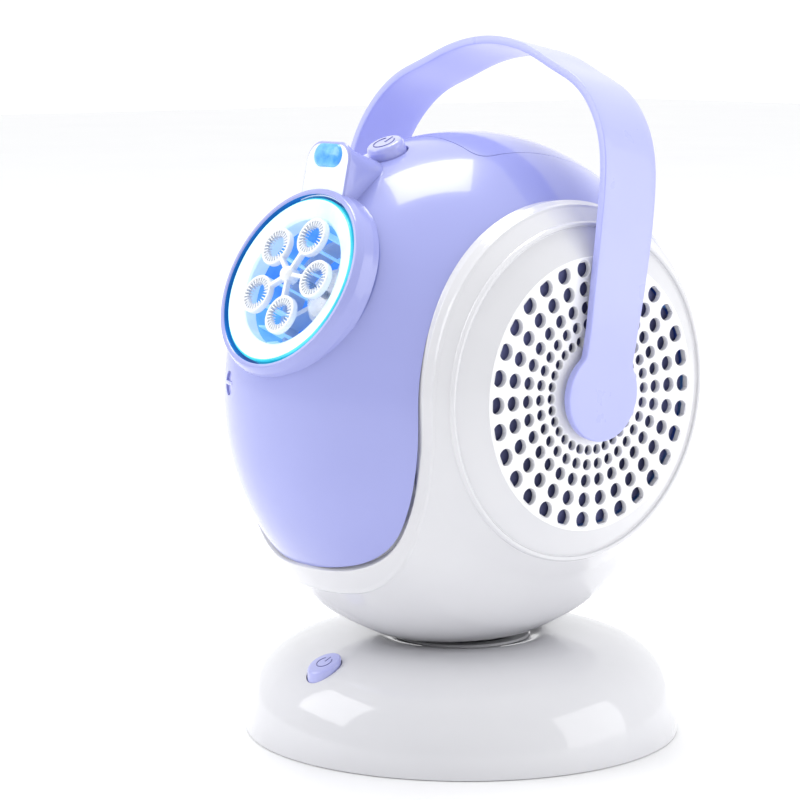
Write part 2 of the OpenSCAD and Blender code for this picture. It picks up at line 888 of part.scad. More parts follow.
base_shell();
base_plate();
base_feet();
base_screws();
neck_ring();
neck_bearing();
base_button();
base_board();
base_switch();
battery_tray();
battery_cells();
charge_port();
swivel_motor();
swivel_pinion();
pinion_shaft();
swivel_gear();
spindle();
cradle();
saddle();
brow();
brow_lens();
mouth_collar();
light_ring();
led_board();
leds();
grille_right();
grille_left();
dust_screens();
grille_screws();
top_button();
top_switch();
main_board();
fill_lid();
fill_funnel();
turn_plug();
soap_tank();
tank_cover();
blower_housing();
blower_impeller();
blower_shaft();
blower_motor();
wheel_mount();
wheel_motor();
wheel_shaft();
wand_wheel();
feed_nozzle();
handle();
pivot_pins();
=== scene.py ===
import json
import math

import bmesh
import bpy
import numpy as np
from mathutils import Matrix, Vector


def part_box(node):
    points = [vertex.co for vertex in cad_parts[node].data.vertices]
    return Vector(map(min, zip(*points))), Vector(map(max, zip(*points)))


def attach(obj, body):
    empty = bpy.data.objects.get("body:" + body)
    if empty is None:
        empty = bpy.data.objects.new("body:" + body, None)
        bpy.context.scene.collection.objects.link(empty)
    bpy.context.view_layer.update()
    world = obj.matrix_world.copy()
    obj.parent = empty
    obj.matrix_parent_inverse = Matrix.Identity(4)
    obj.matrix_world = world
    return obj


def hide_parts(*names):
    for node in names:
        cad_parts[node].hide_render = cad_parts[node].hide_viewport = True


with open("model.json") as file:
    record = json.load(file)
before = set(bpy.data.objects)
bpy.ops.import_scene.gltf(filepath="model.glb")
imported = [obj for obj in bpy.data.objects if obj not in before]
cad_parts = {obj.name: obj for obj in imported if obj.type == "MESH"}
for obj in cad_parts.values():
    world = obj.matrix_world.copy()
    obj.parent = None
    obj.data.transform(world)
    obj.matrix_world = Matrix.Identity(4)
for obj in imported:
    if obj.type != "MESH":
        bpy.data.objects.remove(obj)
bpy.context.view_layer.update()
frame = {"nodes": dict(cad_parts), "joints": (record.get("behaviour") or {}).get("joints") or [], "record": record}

# Lengths in this script are millimetres until a mesh is made; Blender works in metres.
MM = 0.001
JOINTS = {j["name"]: j for j in frame["joints"]}


def joint_point(name):
    return np.array(JOINTS[name]["pos_m"]) / MM


def joint_axis(name):
    return np.array(JOINTS[name]["axis"], float)


def box_mm(node):
    low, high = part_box(node)
    return np.array(low) / MM, np.array(high) / MM


# ---------------------------------------------------------------- sizes of the form

PIVOT = joint_point("handle_swing")
PIVOT_Z = PIVOT[2]
MOUTH_AXIS = joint_axis("wheel_spin")
BUTTON_AXIS = -joint_axis("top_button_press")
PLUG_POINT = joint_point("plug_turn")
PLUG_AXIS = joint_axis("plug_turn")
GRILLE_FACE = 73.0
HEAD_FLOOR = box_mm("cradle")[0][2] + 2.0
SHELL = 2.4
WHEEL_POINT = joint_point("wheel_spin")

# Edges of the two head shells: the saddle's rounded edge, the gap beside it and the cradle's rounded edge
EDGE_ROUND = 1.0
EDGE_GAP = 0.25
CRADLE_ROUND = 0.45
EDGE_PASSES = 30

# Front panel edge seen from the front: half width, height
PANEL_EDGE = [
    (0, 73.6), (9, 73.6), (18.3, 74.0), (26.8, 75.7), (33, 78.2), (38.3, 81.5), (43.2, 86.0),
    (46.7, 91.0), (50.2, 98.0), (52.6, 103.6), (54.3, 109.4), (55.9, 116.0), (56.8, 122.0),
    (57.3, 128.0), (57.4, 134.0),
]

# The rear panel's edge is raised by this much at the bottom, fading to nothing at the second height
REAR_RAISE = 22.0
REAR_RAISE_TOP = 170
REAR_RAISE_FADE = 90

# Round side edge of the saddle: radius, and the angles (degrees above the front) it runs between
SIDE_CIRCLE = 68.2
SIDE_CIRCLE_SPAN = (14, 166)

# Rolled lip of the cradle: width at the sides, width added at the bottom, depth at its edge
LIP_WIDTH = 3.4
LIP_WIDTH_ADDED = 6.6
LIP_DIP = 1.3
# Bead at the lip's outer side; wall and tongue that reach in under the saddle
LIP_BEAD_W = 1.1
LIP_BEAD_H = 0.3
LIP_WALL = 3.4
LIP_TONGUE = 3.0

# Where the white side cone starts, and the ring round the grille it ends at
WHITE_SIDE_X = 57.4
RING_X = 65.9
RING_R = 62.5
RING_DEPTH = 4.0
RING_STEP = 0.3

# Base dome: radius, height
BASE_OUTLINE = [
    (84.5, 0.3), (84.4, 5), (84.0, 9), (83.3, 13.3), (82.3, 16.6), (81.0, 19.8), (79.4, 22.8),
    (77.6, 25.4), (75.4, 27.8), (72.9, 30.0), (70.0, 31.9), (66.8, 33.6), (63.2, 35.0),
    (59.2, 36.1), (54.6, 37.0), (49.0, 37.6), (42.0, 38.0), (34.0, 38.0), (30.0, 37.4),
    (27.4, 36.2), (25.0, 36.0),
]

# Outer face of the handle: half width, height above the pivots
HANDLE_OUTLINE = [
    (0, 130.2), (7, 129.9), (14, 128.9), (20.5, 127.4), (26.5, 125.5), (31.8, 123.3),
    (36.7, 121.1), (44, 118.4), (48, 117.1), (51.8, 115.3), (55.8, 112.8), (59.4, 109.9),
    (62.7, 106.8), (65.6, 103.3), (68.3, 99.6), (70.6, 95.6), (72.7, 90.5), (74.3, 85),
    (75.6, 78), (76.4, 70), (77.2, 60), (77.8, 48), (78.3, 34), (78.6, 20), (78.6, 0), (78.6, -17),
]
HANDLE_LEAN = math.radians(11)
STRAP_T = 3.2
STRAP_END_R = 17.0
# Half width of the strap at lengths along it from its round end
STRAP_WIDTHS = [17, 37, 43, 48, 57, 78, 200], [11.6, 12.0, 12.1, 12.4, 12.8, 13.2, 13.2]

# Brow: a point on its leaning front face, the lean, and its ridge (y, height, half width)
BROW_FOOT = (-68.5, 211.3)
BROW_LEAN = math.tan(math.radians(12.2))
BROW_TOP = 229.9
BROW_RIDGE = [
    (-63.4, 229.8, 12.6), (-60, 227.6, 12.4), (-56, 225.8, 12.0), (-52, 224.3, 11.4),
    (-48, 223.0, 10.5), (-45, 222.1, 9.4), (-42.5, 221.2, 8.2),
]
LENS_Z = 224.9

# Rings of the grille: distance of the hole centres from the hub, hole radius
GRILLE_RINGS = [(46.6, 3.1), (39.1, 2.75), (32.1, 2.4), (26.1, 2.05), (20.7, 1.8)]
GRILLE_HOLES = 30
GRILLE_PHASE = math.radians(6.3)
GRILLE_FIELD_R = 50.3

LOOPS = 5
LOOP_CIRCLE_R = 16.2
LOOP_R = 7.4
LOOP_WALL = 1.15
LOOP_HEIGHTS = (1.4, 4.0)
LOOP_TEETH = 26
WHEEL_TURN = math.radians(-2.6)
DUCT_RIBS = 15

# Height of the top button's seat above the middle of its box
TOP_BUTTON_RISE = 1.3
BASE_BUTTON_LOW, BASE_BUTTON_HIGH = box_mm("base_button")
BASE_BUTTON_Y = (BASE_BUTTON_LOW[1] + BASE_BUTTON_HIGH[1]) / 2
BASE_BUTTON_R = (BASE_BUTTON_HIGH[0] - BASE_BUTTON_LOW[0]) / 2
BASE_BUTTON_FACE_Z = 34.9
BASE_BUTTON_SLOPE = math.radians(24)
BUTTON_GAP = 0.4
NECK_HOLE_R = 18.2
MOUTH_HOLE_R = 36.0
PLUG_HOLE_R = 4.6

# Fill lid, seen from above: half width, front and rear ends, corner radius
LID_HALF_W = 30
LID_ENDS = (-18, 52)
LID_CORNER = 7


# ---------------------------------------------------------------- small mathematics


def smoothstep(low, high, value):
    t = np.clip((np.asarray(value, float) - low) / (high - low), 0, 1)
    return t * t * (3 - 2 * t)


def unit(vectors):
    vectors = np.asarray(vectors, float)
    return vectors / np.linalg.norm(vectors, axis=-1, keepdims=True)


def resampled(points, spacing):
    """The polyline again, with points about spacing apart along it."""
    points = np.asarray(points, float)
    steps = np.linalg.norm(np.diff(points, axis=0), axis=1)
    length = np.concatenate([[0], np.cumsum(steps)])
    count = max(3, int(round(length[-1] / spacing)) + 1)
    where = np.linspace(0, length[-1], count)
    return np.stack([np.interp(where, length, points[:, k]) for k in range(points.shape[1])], -1)


def relaxed(points, passes):
    """The polyline with its corners rounded by repeated averaging; its ends stay."""
    points = np.array(points, float)
    for _ in range(passes):
        points[1:-1] = (points[:-2] + 2 * points[1:-1] + points[2:]) / 4
    return points


def rounded_outline(corners, closed, steps=5):
    """Polygon from corners (x, y, radius), with each corner rounded to about its radius."""
    points = []
    count = len(corners)
    for i, (x, y, radius) in enumerate(corners):
        here = np.array((x, y), float)
        if radius == 0 or (not closed and i in (0, count - 1)):
            points.append(here)
            continue
        back = np.array(corners[i - 1][:2], float) - here
        ahead = np.array(corners[(i + 1) % count][:2], float) - here
        lengths = np.linalg.norm(back), np.linalg.norm(ahead)
        back, ahead = back / lengths[0], ahead / lengths[1]
        half = 0.5 * math.acos(np.clip(back @ ahead, -1, 1))
        reach = min(radius / math.tan(half), 0.48 * lengths[0], 0.48 * lengths[1])
        for k in range(steps + 1):
            t = k / steps
            points.append(
                (1 - t) ** 2 * (here + back * reach)
                + 2 * t * (1 - t) * here
                + t ** 2 * (here + ahead * reach)
            )
    return np.array(points)


def local_frame(origin, z_axis, x_axis):
    """4 x 4 matrix of a frame, in mm."""
    z = unit(z_axis)
    x = np.asarray(x_axis, float)
    x = unit(x - (x @ z) * z)
    matrix = np.eye(4)
    matrix[:3, 0], matrix[:3, 1], matrix[:3, 2], matrix[:3, 3] = x, np.cross(z, x), z, origin
    return matrix


def placed(matrix, points):
    points = np.asarray(points, float)
    return points @ matrix[:3, :3].T + matrix[:3, 3]


MOUTH = local_frame(PIVOT, MOUTH_AXIS, (1, 0, 0))
SIDE = local_frame(PIVOT, (1, 0, 0), (0, 0, 1))
UPRIGHT = np.eye(4)
WHEEL = local_frame(WHEEL_POINT, MOUTH_AXIS, (1, 0, 0))
BUTTON_TOP = local_frame(
    sum(box_mm("top_button")) / 2 + TOP_BUTTON_RISE * BUTTON_AXIS, BUTTON_AXIS, (1, 0, 0),
)
PLUG = local_frame(PLUG_POINT, PLUG_AXIS, np.cross((0, 0, 1), PLUG_AXIS))


# ---------------------------------------------------------------- mesh helpers


def linked(name, data):
    """A new object in the scene."""
    obj = bpy.data.objects.new(name, data)
    bpy.context.scene.collection.objects.link(obj)
    return obj


def mesh_object(name, points, faces, material, sharp=35, face_slots=None):
    """A mesh from points in mm, smooth except at edges sharper than sharp degrees."""
    mesh = bpy.data.meshes.new(name)
    mesh.from_pydata((np.asarray(points, float) * MM).tolist(), [], [list(map(int, f)) for f in faces])
    for one in material if isinstance(material, list) else [material]:
        mesh.materials.append(one)
    if face_slots is not None:
        mesh.polygons.foreach_set("material_index", np.asarray(face_slots, np.int32))
    bm = bmesh.new()
    bm.from_mesh(mesh)
    bmesh.ops.remove_doubles(bm, verts=bm.verts, dist=2e-6)
    bmesh.ops.dissolve_degenerate(bm, edges=bm.edges, dist=1e-7)
    bmesh.ops.recalc_face_normals(bm, faces=bm.faces)
    bm.to_mesh(mesh)
    bm.free()
    shade(mesh, sharp)
    return linked(name, mesh)


def shade(mesh, sharp):
    mesh.polygons.foreach_set("use_smooth", [True] * len(mesh.polygons))
    mesh.set_sharp_from_angle(angle=math.radians(sharp))
    mesh.update()


def grid_faces(rows, columns, first=0, wrap=False):
    """Quads of vertices numbered row by row from first; wrap joins the last column to the first."""
    faces = []
    for i in range(rows - 1):
        for j in range(columns if wrap else columns - 1):
            a = first + i * columns + j
            b = first + i * columns + (j + 1) % columns
            faces.append((a, b, b + columns, a + columns))
    return faces


def lathe(name, profile, place, material, closed=True, steps=160, sharp=35, bands=None):
    """Solid of revolution: profile is (radius, height), turned about the frame's Z.

    bands gives the material slot of the face that starts at a profile point.
    """
    profile = np.asarray(profile, float)
    around = np.linspace(0, 2 * math.pi, steps, endpoint=False)
    rings = np.stack(
        [
            np.outer(np.cos(around), profile[:, 0]),
            np.outer(np.sin(around), profile[:, 0]),
            np.outer(np.ones(steps), profile[:, 1]),
        ],
        -1,
    )
    count = len(profile)
    rings = np.concatenate([rings, rings[:1]])
    faces = grid_faces(steps + 1, count, wrap=closed)
    slots = None
    if bands is not None:
        per_row = count if closed else count - 1
        slots = [bands(profile[k]) for k in range(per_row)] * steps
    return mesh_object(name, placed(place, rings.reshape(-1, 3)), faces, material, sharp, slots)


def cylinder(radius, low, high, place, steps):
    """Solid cylinder to cut holes with."""
    profile = [(0, low), (radius, low), (radius, high), (0, high)]
    return lathe("cutter", profile, place, lilac, closed=False, steps=steps)


def loft(name, sections, material, sharp=35, caps=True):
    """Skin over closed sections with the same number of points each."""
    sections = np.asarray(sections, float)
    rows, columns = sections.shape[:2]
    faces = grid_faces(rows, columns, wrap=True)
    if caps:
        faces.append(list(range(columns)))
        faces.append(list(range((rows - 1) * columns, rows * columns)))
    return mesh_object(name, sections.reshape(-1, 3), faces, material, sharp)


def mirrored(obj, name):
    """A copy of obj reflected in the plane X = 0."""
    mesh = obj.data.copy()
    mesh.transform(Matrix.Scale(-1, 4, (1, 0, 0)))
    mesh.flip_normals()
    return linked(name, mesh)


def applied(obj):
    """Turns obj's modifiers into mesh."""
    graph = bpy.context.evaluated_depsgraph_get()
    mesh = bpy.data.meshes.new_from_object(obj.evaluated_get(graph))
    obj.modifiers.clear()
    obj.data = mesh
    shade(mesh, 35)
    return obj


def cut(obj, *cutters, operation="DIFFERENCE"):
    for cutter in cutters:
        modifier = obj.modifiers.new("cut", "BOOLEAN")
        modifier.operation = operation
        modifier.solver = "EXACT"
        modifier.object = cutter
    applied(obj)
    for cutter in cutters:
        bpy.data.objects.remove(cutter)
    return obj


def joined(name, objects):
    """One object from several; their materials come along."""
    bm = bmesh.new()
    materials = []
    for obj in objects:
        slots = []
        for material in obj.data.materials:
            if material not in materials:
                materials.append(material)
            slots.append(materials.index(material))
        start = len(bm.faces)
        bm.from_mesh(obj.data)
        bm.faces.ensure_lookup_table()
        for face in bm.faces[start:]:
            face.material_index = slots[face.material_index]
    mesh = bpy.data.meshes.new(name)
    bm.to_mesh(mesh)
    bm.free()
    for material in materials:
        mesh.materials.append(material)
    shade(mesh, 35)
    for obj in objects:
        bpy.data.objects.remove(obj)
    return linked(name, mesh)


# ---------------------------------------------------------------- materials


def noisy(name, dark, light, cloud, gloss, grain, lit=False, stops=(0.3, 0.7), **values):
    """Material whose colour, roughness and relief each follow a noise of their own.

    cloud is (scale, detail), gloss (scale, detail, least and greatest roughness) and grain (scale, detail,
    strength, distance in metres). A lit material glows in its own colour.
    """
    material = bpy.data.materials.new(name)
    material.use_nodes = True
    tree = material.node_tree
    principled = tree.nodes["Principled BSDF"]
    place = tree.nodes.new("ShaderNodeTexCoord").outputs["Object"]

    def set_inputs(node, values):
        for key, value in values.items():
            node.inputs[key.replace("_", " ")].default_value = value

    def node(kind, entry, scale, detail, **inputs):
        """A node whose entry is driven by a noise."""
        noise = tree.nodes.new("ShaderNodeTexNoise")
        set_inputs(noise, {"Scale": scale, "Detail": detail, "Roughness": 0.55})
        tree.links.new(place, noise.inputs["Vector"])
        made = tree.nodes.new(kind)
        set_inputs(made, inputs)
        tree.links.new(noise.outputs["Fac"], made.inputs[entry])
        return made

    colour = node("ShaderNodeValToRGB", "Fac", *cloud)
    for element, where, tint in zip(colour.color_ramp.elements, stops, (dark, light)):
        element.position = where
        element.color = (*tint, 1)
    tree.links.new(colour.outputs["Color"], principled.inputs["Base Color"])
    if lit:
        tree.links.new(colour.outputs["Color"], principled.inputs["Emission Color"])
    scale, detail, low, high = gloss
    spread = node(
        "ShaderNodeMapRange", "Value", scale, detail, From_Min=0.3, From_Max=0.7, To_Min=low, To_Max=high,
    )
    tree.links.new(spread.outputs["Result"], principled.inputs["Roughness"])
    scale, detail, strength, distance = grain
    bump = node("ShaderNodeBump", "Height", scale, detail, Strength=strength, Distance=distance)
    tree.links.new(bump.outputs["Normal"], principled.inputs["Normal"])
    set_inputs(principled, values)
    return material


def moulded(name, dark, light, roughness, grain, coat, grain_scale=900):
    """Moulded plastic: slight cloudiness in its colour, an uneven gloss and a fine tool grain."""
    return noisy(
        name, dark, light, (14, 4), (45, 5, *roughness), (grain_scale, 2, grain, 0.0004),
        Coat_Weight=coat, Coat_Roughness=0.04, IOR=1.5,
    )


def glowing(name, dark, light, strength, scale=60):
    """Glowing material, a little uneven along its length: milky light guides lit from behind, and also the glowing
    painted shade and painted light on the collar, the gap floor and the brow front.
    """
    return noisy(
        name, dark, light, (scale, 3), (80, 4, 0.1, 0.25), (500, 2, 0.02, 0.0003), lit=True,
        Emission_Strength=strength, Coat_Weight=0.4, Coat_Roughness=0.05,
    )


gloss_white = moulded("gloss_white", (0.66, 0.66, 0.69), (0.69, 0.69, 0.715), (0.08, 0.13), 0.004, 0.4)
grille_white = moulded("grille_white", (0.86, 0.86, 0.88), (0.89, 0.89, 0.91), (0.2, 0.3), 0.01, 0.3)
lilac = moulded("lilac", (0.315, 0.34, 0.69), (0.335, 0.36, 0.72), (0.16, 0.24), 0.008, 0.5)
lilac_strap = moulded("lilac_strap", (0.425, 0.45, 0.88), (0.45, 0.475, 0.90), (0.26, 0.36), 0.012, 0.25)
lilac_button = moulded("lilac_button", (0.40, 0.42, 0.78), (0.42, 0.44, 0.81), (0.12, 0.2), 0.006, 0.6)
icon_lilac = moulded("icon_lilac", (0.07, 0.075, 0.26), (0.09, 0.095, 0.30), (0.25, 0.35), 0.01, 0.2)
wheel_white = moulded("wheel_white", (0.84, 0.86, 0.88), (0.90, 0.91, 0.92), (0.25, 0.4), 0.02, 0.2)
inner_white = moulded("inner_white", (0.66, 0.68, 0.72), (0.74, 0.76, 0.80), (0.35, 0.5), 0.03, 0.0)
duct_blue = glowing("duct_blue", (0.03, 0.18, 0.66), (0.16, 0.46, 0.92), 0.5, 40)
duct_ribs = glowing("duct_ribs", (0.30, 0.62, 0.95), (0.55, 0.82, 1.0), 0.5, 70)
glow_white = glowing("glow_white", (0.60, 0.84, 0.97), (0.80, 0.94, 1.0), 0.22)
glow_cyan = glowing("glow_cyan", (0.01, 0.50, 0.62), (0.08, 0.72, 0.80), 0.45)
# Dark blue, faintly glowing painted shade for the collar's inner wall and the floor of the gap round the light
# ring
painted_shade_blue = glowing("painted_shade_blue", (0.01, 0.07, 0.30), (0.02, 0.14, 0.50), 0.25)
lens_blue = glowing("lens_blue", (0.02, 0.22, 0.78), (0.12, 0.42, 0.95), 0.35, 220)
# Pale, faintly glowing painted light for the brow's front face, which is no lamp
brow_painted_light = glowing("brow_painted_light", (0.70, 0.76, 0.95), (0.80, 0.85, 0.98), 0.12, 90)
# Screen behind the grilles: a real part, but its dark navy to lilac mottling is painted shade for the inside seen
# through the holes
screen_painted_shade = moulded("screen_painted_shade", (0.03, 0.033, 0.09), (0.13, 0.14, 0.32), (0.6, 0.8), 0.4, 0.0, 700)
dark_plastic = moulded("dark_plastic", (0.02, 0.02, 0.025), (0.04, 0.04, 0.045), (0.4, 0.55), 0.05, 0.0)
rubber = noisy(
    "rubber", (0.03, 0.03, 0.033), (0.06, 0.06, 0.065), (200, 5), (150, 3, 0.65, 0.85), (1200, 4, 0.25, 0.0003),
)
steel = noisy(
    "steel", (0.50, 0.51, 0.53), (0.66, 0.67, 0.69), (120, 6), (300, 4, 0.22, 0.42), (1500, 2, 0.05, 0.0002),
    stops=(0.35, 0.65), Metallic=1.0,
)
board = moulded("board", (0.01, 0.10, 0.05), (0.02, 0.17, 0.09), (0.3, 0.5), 0.08, 0.3)
cell = moulded("cell", (0.04, 0.14, 0.42), (0.06, 0.18, 0.50), (0.2, 0.35), 0.02, 0.4)
tank_clear = noisy(
    "tank", (0.70, 0.86, 0.97), (0.82, 0.93, 1.0), (30, 3), (60, 4, 0.12, 0.3), (400, 3, 0.05, 0.0004),
    Transmission_Weight=0.6, IOR=1.45,
)

# Material of each slot in the record
SLOT_MATERIALS = {
    "gloss_white": gloss_white, "grille_white": grille_white, "lilac": lilac,
    "lilac_strap": lilac_strap, "lilac_button": lilac_button, "glow": glow_white,
    "lens_blue": lens_blue, "wheel_white": wheel_white, "inner_white": inner_white,
    "duct_blue": duct_blue, "tank": tank_clear, "screen": screen_painted_shade, "rubber": rubber,
    "dark_plastic": dark_plastic, "steel": steel, "board": board, "cell": cell,
}
replaced = set()


def finish_piece(obj, body, slot, *nodes):
    """Puts obj on its body; it replaces the named CAD nodes. slot is not used."""
    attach(obj, body)
    if nodes:
        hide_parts(*nodes)
        replaced.update(nodes)


# ---------------------------------------------------------------- head shells


class Ball:
    """Ball flattened along X: radius seen from the side, half width along X."""

    def __init__(self, radius, half_width, y, z):
        self.radius, self.half_width, self.y, self.z = radius, half_width, y, z

    def radius_at(self, x):
        return self.radius * np.sqrt(np.clip(1 - (np.asarray(x, float) / self.half_width) ** 2, 0, 1))

    def point(self, x, angle):
        """Point at X = x, at an angle about the ball's own axis: 0 is front, 90 degrees is up."""
        r = self.radius_at(x)
        return np.stack([x + 0 * r, self.y - r * np.cos(angle), self.z + r * np.sin(angle)], -1)

    def normal(self, points):
        offset = points - np.array([0, self.y, self.z])
        return unit(offset / np.array([self.half_width, self.radius, self.radius]) ** 2)


LILAC_BALL = Ball(98.2, 80, 0, 134)
WHITE_BALL = Ball(99.8, 82, -1, 133.4)


def panel_edge(grow):
    """The front panel's edge, moved outwards by grow."""
    outline = np.array(PANEL_EDGE, float)
    along = unit(np.gradient(outline, axis=0))
    outline = outline + grow * np.stack([along[:, 1], -along[:, 0]], -1)
    outline[0, 0] = 0
    return outline


def rear_height(z):
    """Height of the rear panel's edge where the front panel's edge has height z."""
    return z + REAR_RAISE * min(1.0, max(0.0, (REAR_RAISE_TOP - z) / REAR_RAISE_FADE))


def saddle_edge():
    """Edge of the saddle as (x, angle about the ball's axis), from bottom front over the side to the rear."""
    ball = LILAC_BALL
    outline = panel_edge(-EDGE_ROUND)
    chart = [(x, math.asin((z - ball.z) / ball.radius_at(x))) for x, z in outline]
    circle_r = SIDE_CIRCLE + EDGE_ROUND
    for theta in np.radians(np.linspace(*SIDE_CIRCLE_SPAN, 60)):
        y = -circle_r * math.cos(theta)
        z = PIVOT_Z + circle_r * math.sin(theta)
        r = math.hypot(y - ball.y, z - ball.z)
        x = ball.half_width * math.sqrt(1 - (r / ball.radius) ** 2)
        chart.append((x, math.atan2(z - ball.z, -y)))
    for x, z in outline[::-1]:
        chart.append((x, math.pi - math.asin((rear_height(z) - ball.z) / ball.radius_at(x))))
    scale = np.array([1, ball.radius * 0.8])
    return relaxed(resampled(np.array(chart) * scale, 1.0), EDGE_PASSES) / scale


def edge_directions(points, normals):
    """Unit vectors in the surface, square to a run of edge points."""
    along = unit(np.gradient(points, axis=0))
    return unit(np.cross(along, normals))


def lip(points, across, normals, radius, sweep, wall, tongue=0.0, steps=5):
    """Rows of points round an edge: through sweep radians, down a wall, then out along a tongue."""
    rows = []
    radius, sweep, wall = (
        np.broadcast_to(np.asarray(v, float), len(points))[:, None] for v in (radius, sweep, wall)
    )
    for k in range(1, steps + 1):
        a = sweep * k / steps
        rows.append(points + across * radius * np.sin(a) - normals * radius * (1 - np.cos(a)))
    down = across * np.cos(sweep) - normals * np.sin(sweep)
    rows.append(rows[-1] + down * wall)
    if tongue:
        rows.append(rows[-1] + (across * np.sin(sweep) + normals * np.cos(sweep)) * tongue)
    return rows


def build_saddle():
    edge = saddle_edge()
    share = np.linspace(-1, 1, 97)
    x = edge[:, :1] * share[None]
    angle = np.repeat(edge[:, 1:], len(share), 1)
    outer = LILAC_BALL.point(x, angle)
    inner = outer - SHELL * LILAC_BALL.normal(outer)
    rows, columns = outer.shape[:2]
    points = [outer.reshape(-1, 3), inner.reshape(-1, 3)]
    faces = grid_faces(rows, columns) + grid_faces(rows, columns, rows * columns)
    right = outer[:, -1]
    loop = np.concatenate([right, outer[::-1, 0][1:-1]])
    starts = np.arange(rows) * columns
    ids = np.concatenate([starts + columns - 1, starts[::-1][1:-1]])
    normals = LILAC_BALL.normal(loop)
    closed = np.concatenate([loop[-1:], loop, loop[:1]])
    across = unit(np.cross(unit(closed[2:] - closed[:-2]), normals))
    across *= np.sign(((loop - loop.mean(0)) * across).sum(-1).mean())
    strip = lip(loop, across, normals, EDGE_ROUND, math.pi / 2, 1.4)
    points += strip
    first = 2 * rows * columns
    count = len(loop)
    levels = [first + k * count + np.arange(count) for k in range(len(strip))]
    levels = [ids, *levels, ids + rows * columns]
    for low, high in zip(levels[:-1], levels[1:]):
        for i in range(count):
            j = (i + 1) % count
            faces.append((low[i], low[j], high[j], high[i]))
    saddle = mesh_object("saddle_skin", np.concatenate(points), faces, lilac)
    mouth = cylinder(MOUTH_HOLE_R, 40, 130, MOUTH, 128)
    dished = [(0, -12), (7.7, -12), (7.7, -1.2), (8.3, -0.2), (10, 1.2), (10, 12), (0, 12)]
    button = lathe("cutter", dished, BUTTON_TOP, lilac, closed=False, steps=96)
    plug = cylinder(PLUG_HOLE_R, -12, 10, PLUG, 64)
    return cut(saddle, mouth, button, plug, lid_prism(0.4))


def lid_prism(grow):
    """Upright prism over the outline of the fill lid."""
    half = LID_HALF_W + grow
    front, rear = LID_ENDS[0] - grow, LID_ENDS[1] + grow
    corners = [(half, front), (half, rear), (-half, rear), (-half, front)]
    outline = rounded_outline([(x, y, LID_CORNER) for x, y in corners], True, 10)
    return loft("cutter", [[(x, y, z) for x, y in outline] for z in (190, 260)], lilac)


def build_lid():
    x, angle = np.meshgrid(np.linspace(-34, 34, 69), np.radians(np.linspace(54, 128, 90)))
    thickness = 2.0
    outer = LILAC_BALL.point(x, angle)
    inner = outer - thickness * LILAC_BALL.normal(outer)
    rows, columns = outer.shape[:2]
    half = rows * columns
    faces = grid_faces(rows, columns) + grid_faces(rows, columns, half)
    ring = (
        list(range(columns))
        + [i * columns + columns - 1 for i in range(1, rows)]
        + [(rows - 1) * columns + j for j in range(columns - 2, -1, -1)]
        + [i * columns for i in range(rows - 2, 0, -1)]
    )
    for a, b in zip(ring, ring[1:] + ring[:1]):
        faces.append((a, b, b + half, a + half))
    points = np.concatenate([outer.reshape(-1, 3), inner.reshape(-1, 3)])
    lid = mesh_object("fill_lid_skin", points, faces, lilac)
    return cut(lid, lid_prism(0), operation="INTERSECT")


def white_radius(x, angle):
    """Distance of the white body's surface from the pivot axis; near the sides it is the same all round."""
    x = np.asarray(x, float)
    r = WHITE_BALL.radius_at(x)
    oy, oz = -WHITE_BALL.y, PIVOT_Z - WHITE_BALL.z
    along = oz * np.sin(angle) - oy * np.cos(angle)
    ball = -along + np.sqrt(np.maximum(r * r - (oy * oy + oz * oz) + along * along, 1))
    edge_r = WHITE_BALL.radius_at(WHITE_SIDE_X)
    slope = (RING_R - edge_r) / (RING_X - WHITE_SIDE_X)
    side = np.where(x < WHITE_SIDE_X, r, edge_r + slope * (x - WHITE_SIDE_X))
    weight = smoothstep(40, 58, x)
    return ball * (1 - weight) + side * weight


def white_point(x, angle):
    r = white_radius(x, angle)
    return np.stack([x + 0 * r, -r * np.cos(angle), PIVOT_Z + r * np.sin(angle)], -1)


def white_chart(points):
    return points[..., 0], np.unwrap(np.arctan2(points[..., 2] - PIVOT_Z, -points[..., 1]))


def white_normal(x, angle):
    step = 1e-3
    du = white_point(x + step, angle) - white_point(x - step, angle)
    dv = white_point(x, angle + step) - white_point(x, angle - step)
    return unit(np.cross(du, dv))


def white_edge():
    """The white body's rounded edge as (x, angle about the pivots), beside the saddle's edge all along."""
    edge = saddle_edge()
    line = LILAC_BALL.point(edge[:, 0], edge[:, 1])
    normals = LILAC_BALL.normal(line)
    across = edge_directions(line, normals)
    across *= -np.sign(across[0, 2])
    line = line + across * (EDGE_ROUND + EDGE_GAP + CRADLE_ROUND)
    for _ in range(30):
        x, angle = white_chart(line)
        short = white_radius(x, angle) - np.hypot(line[:, 1], line[:, 2] - PIVOT_Z)
        line = line + normals * short[:, None] * 0.6
    line[[0, -1], 0] = 0
    return np.stack(white_chart(line), -1)


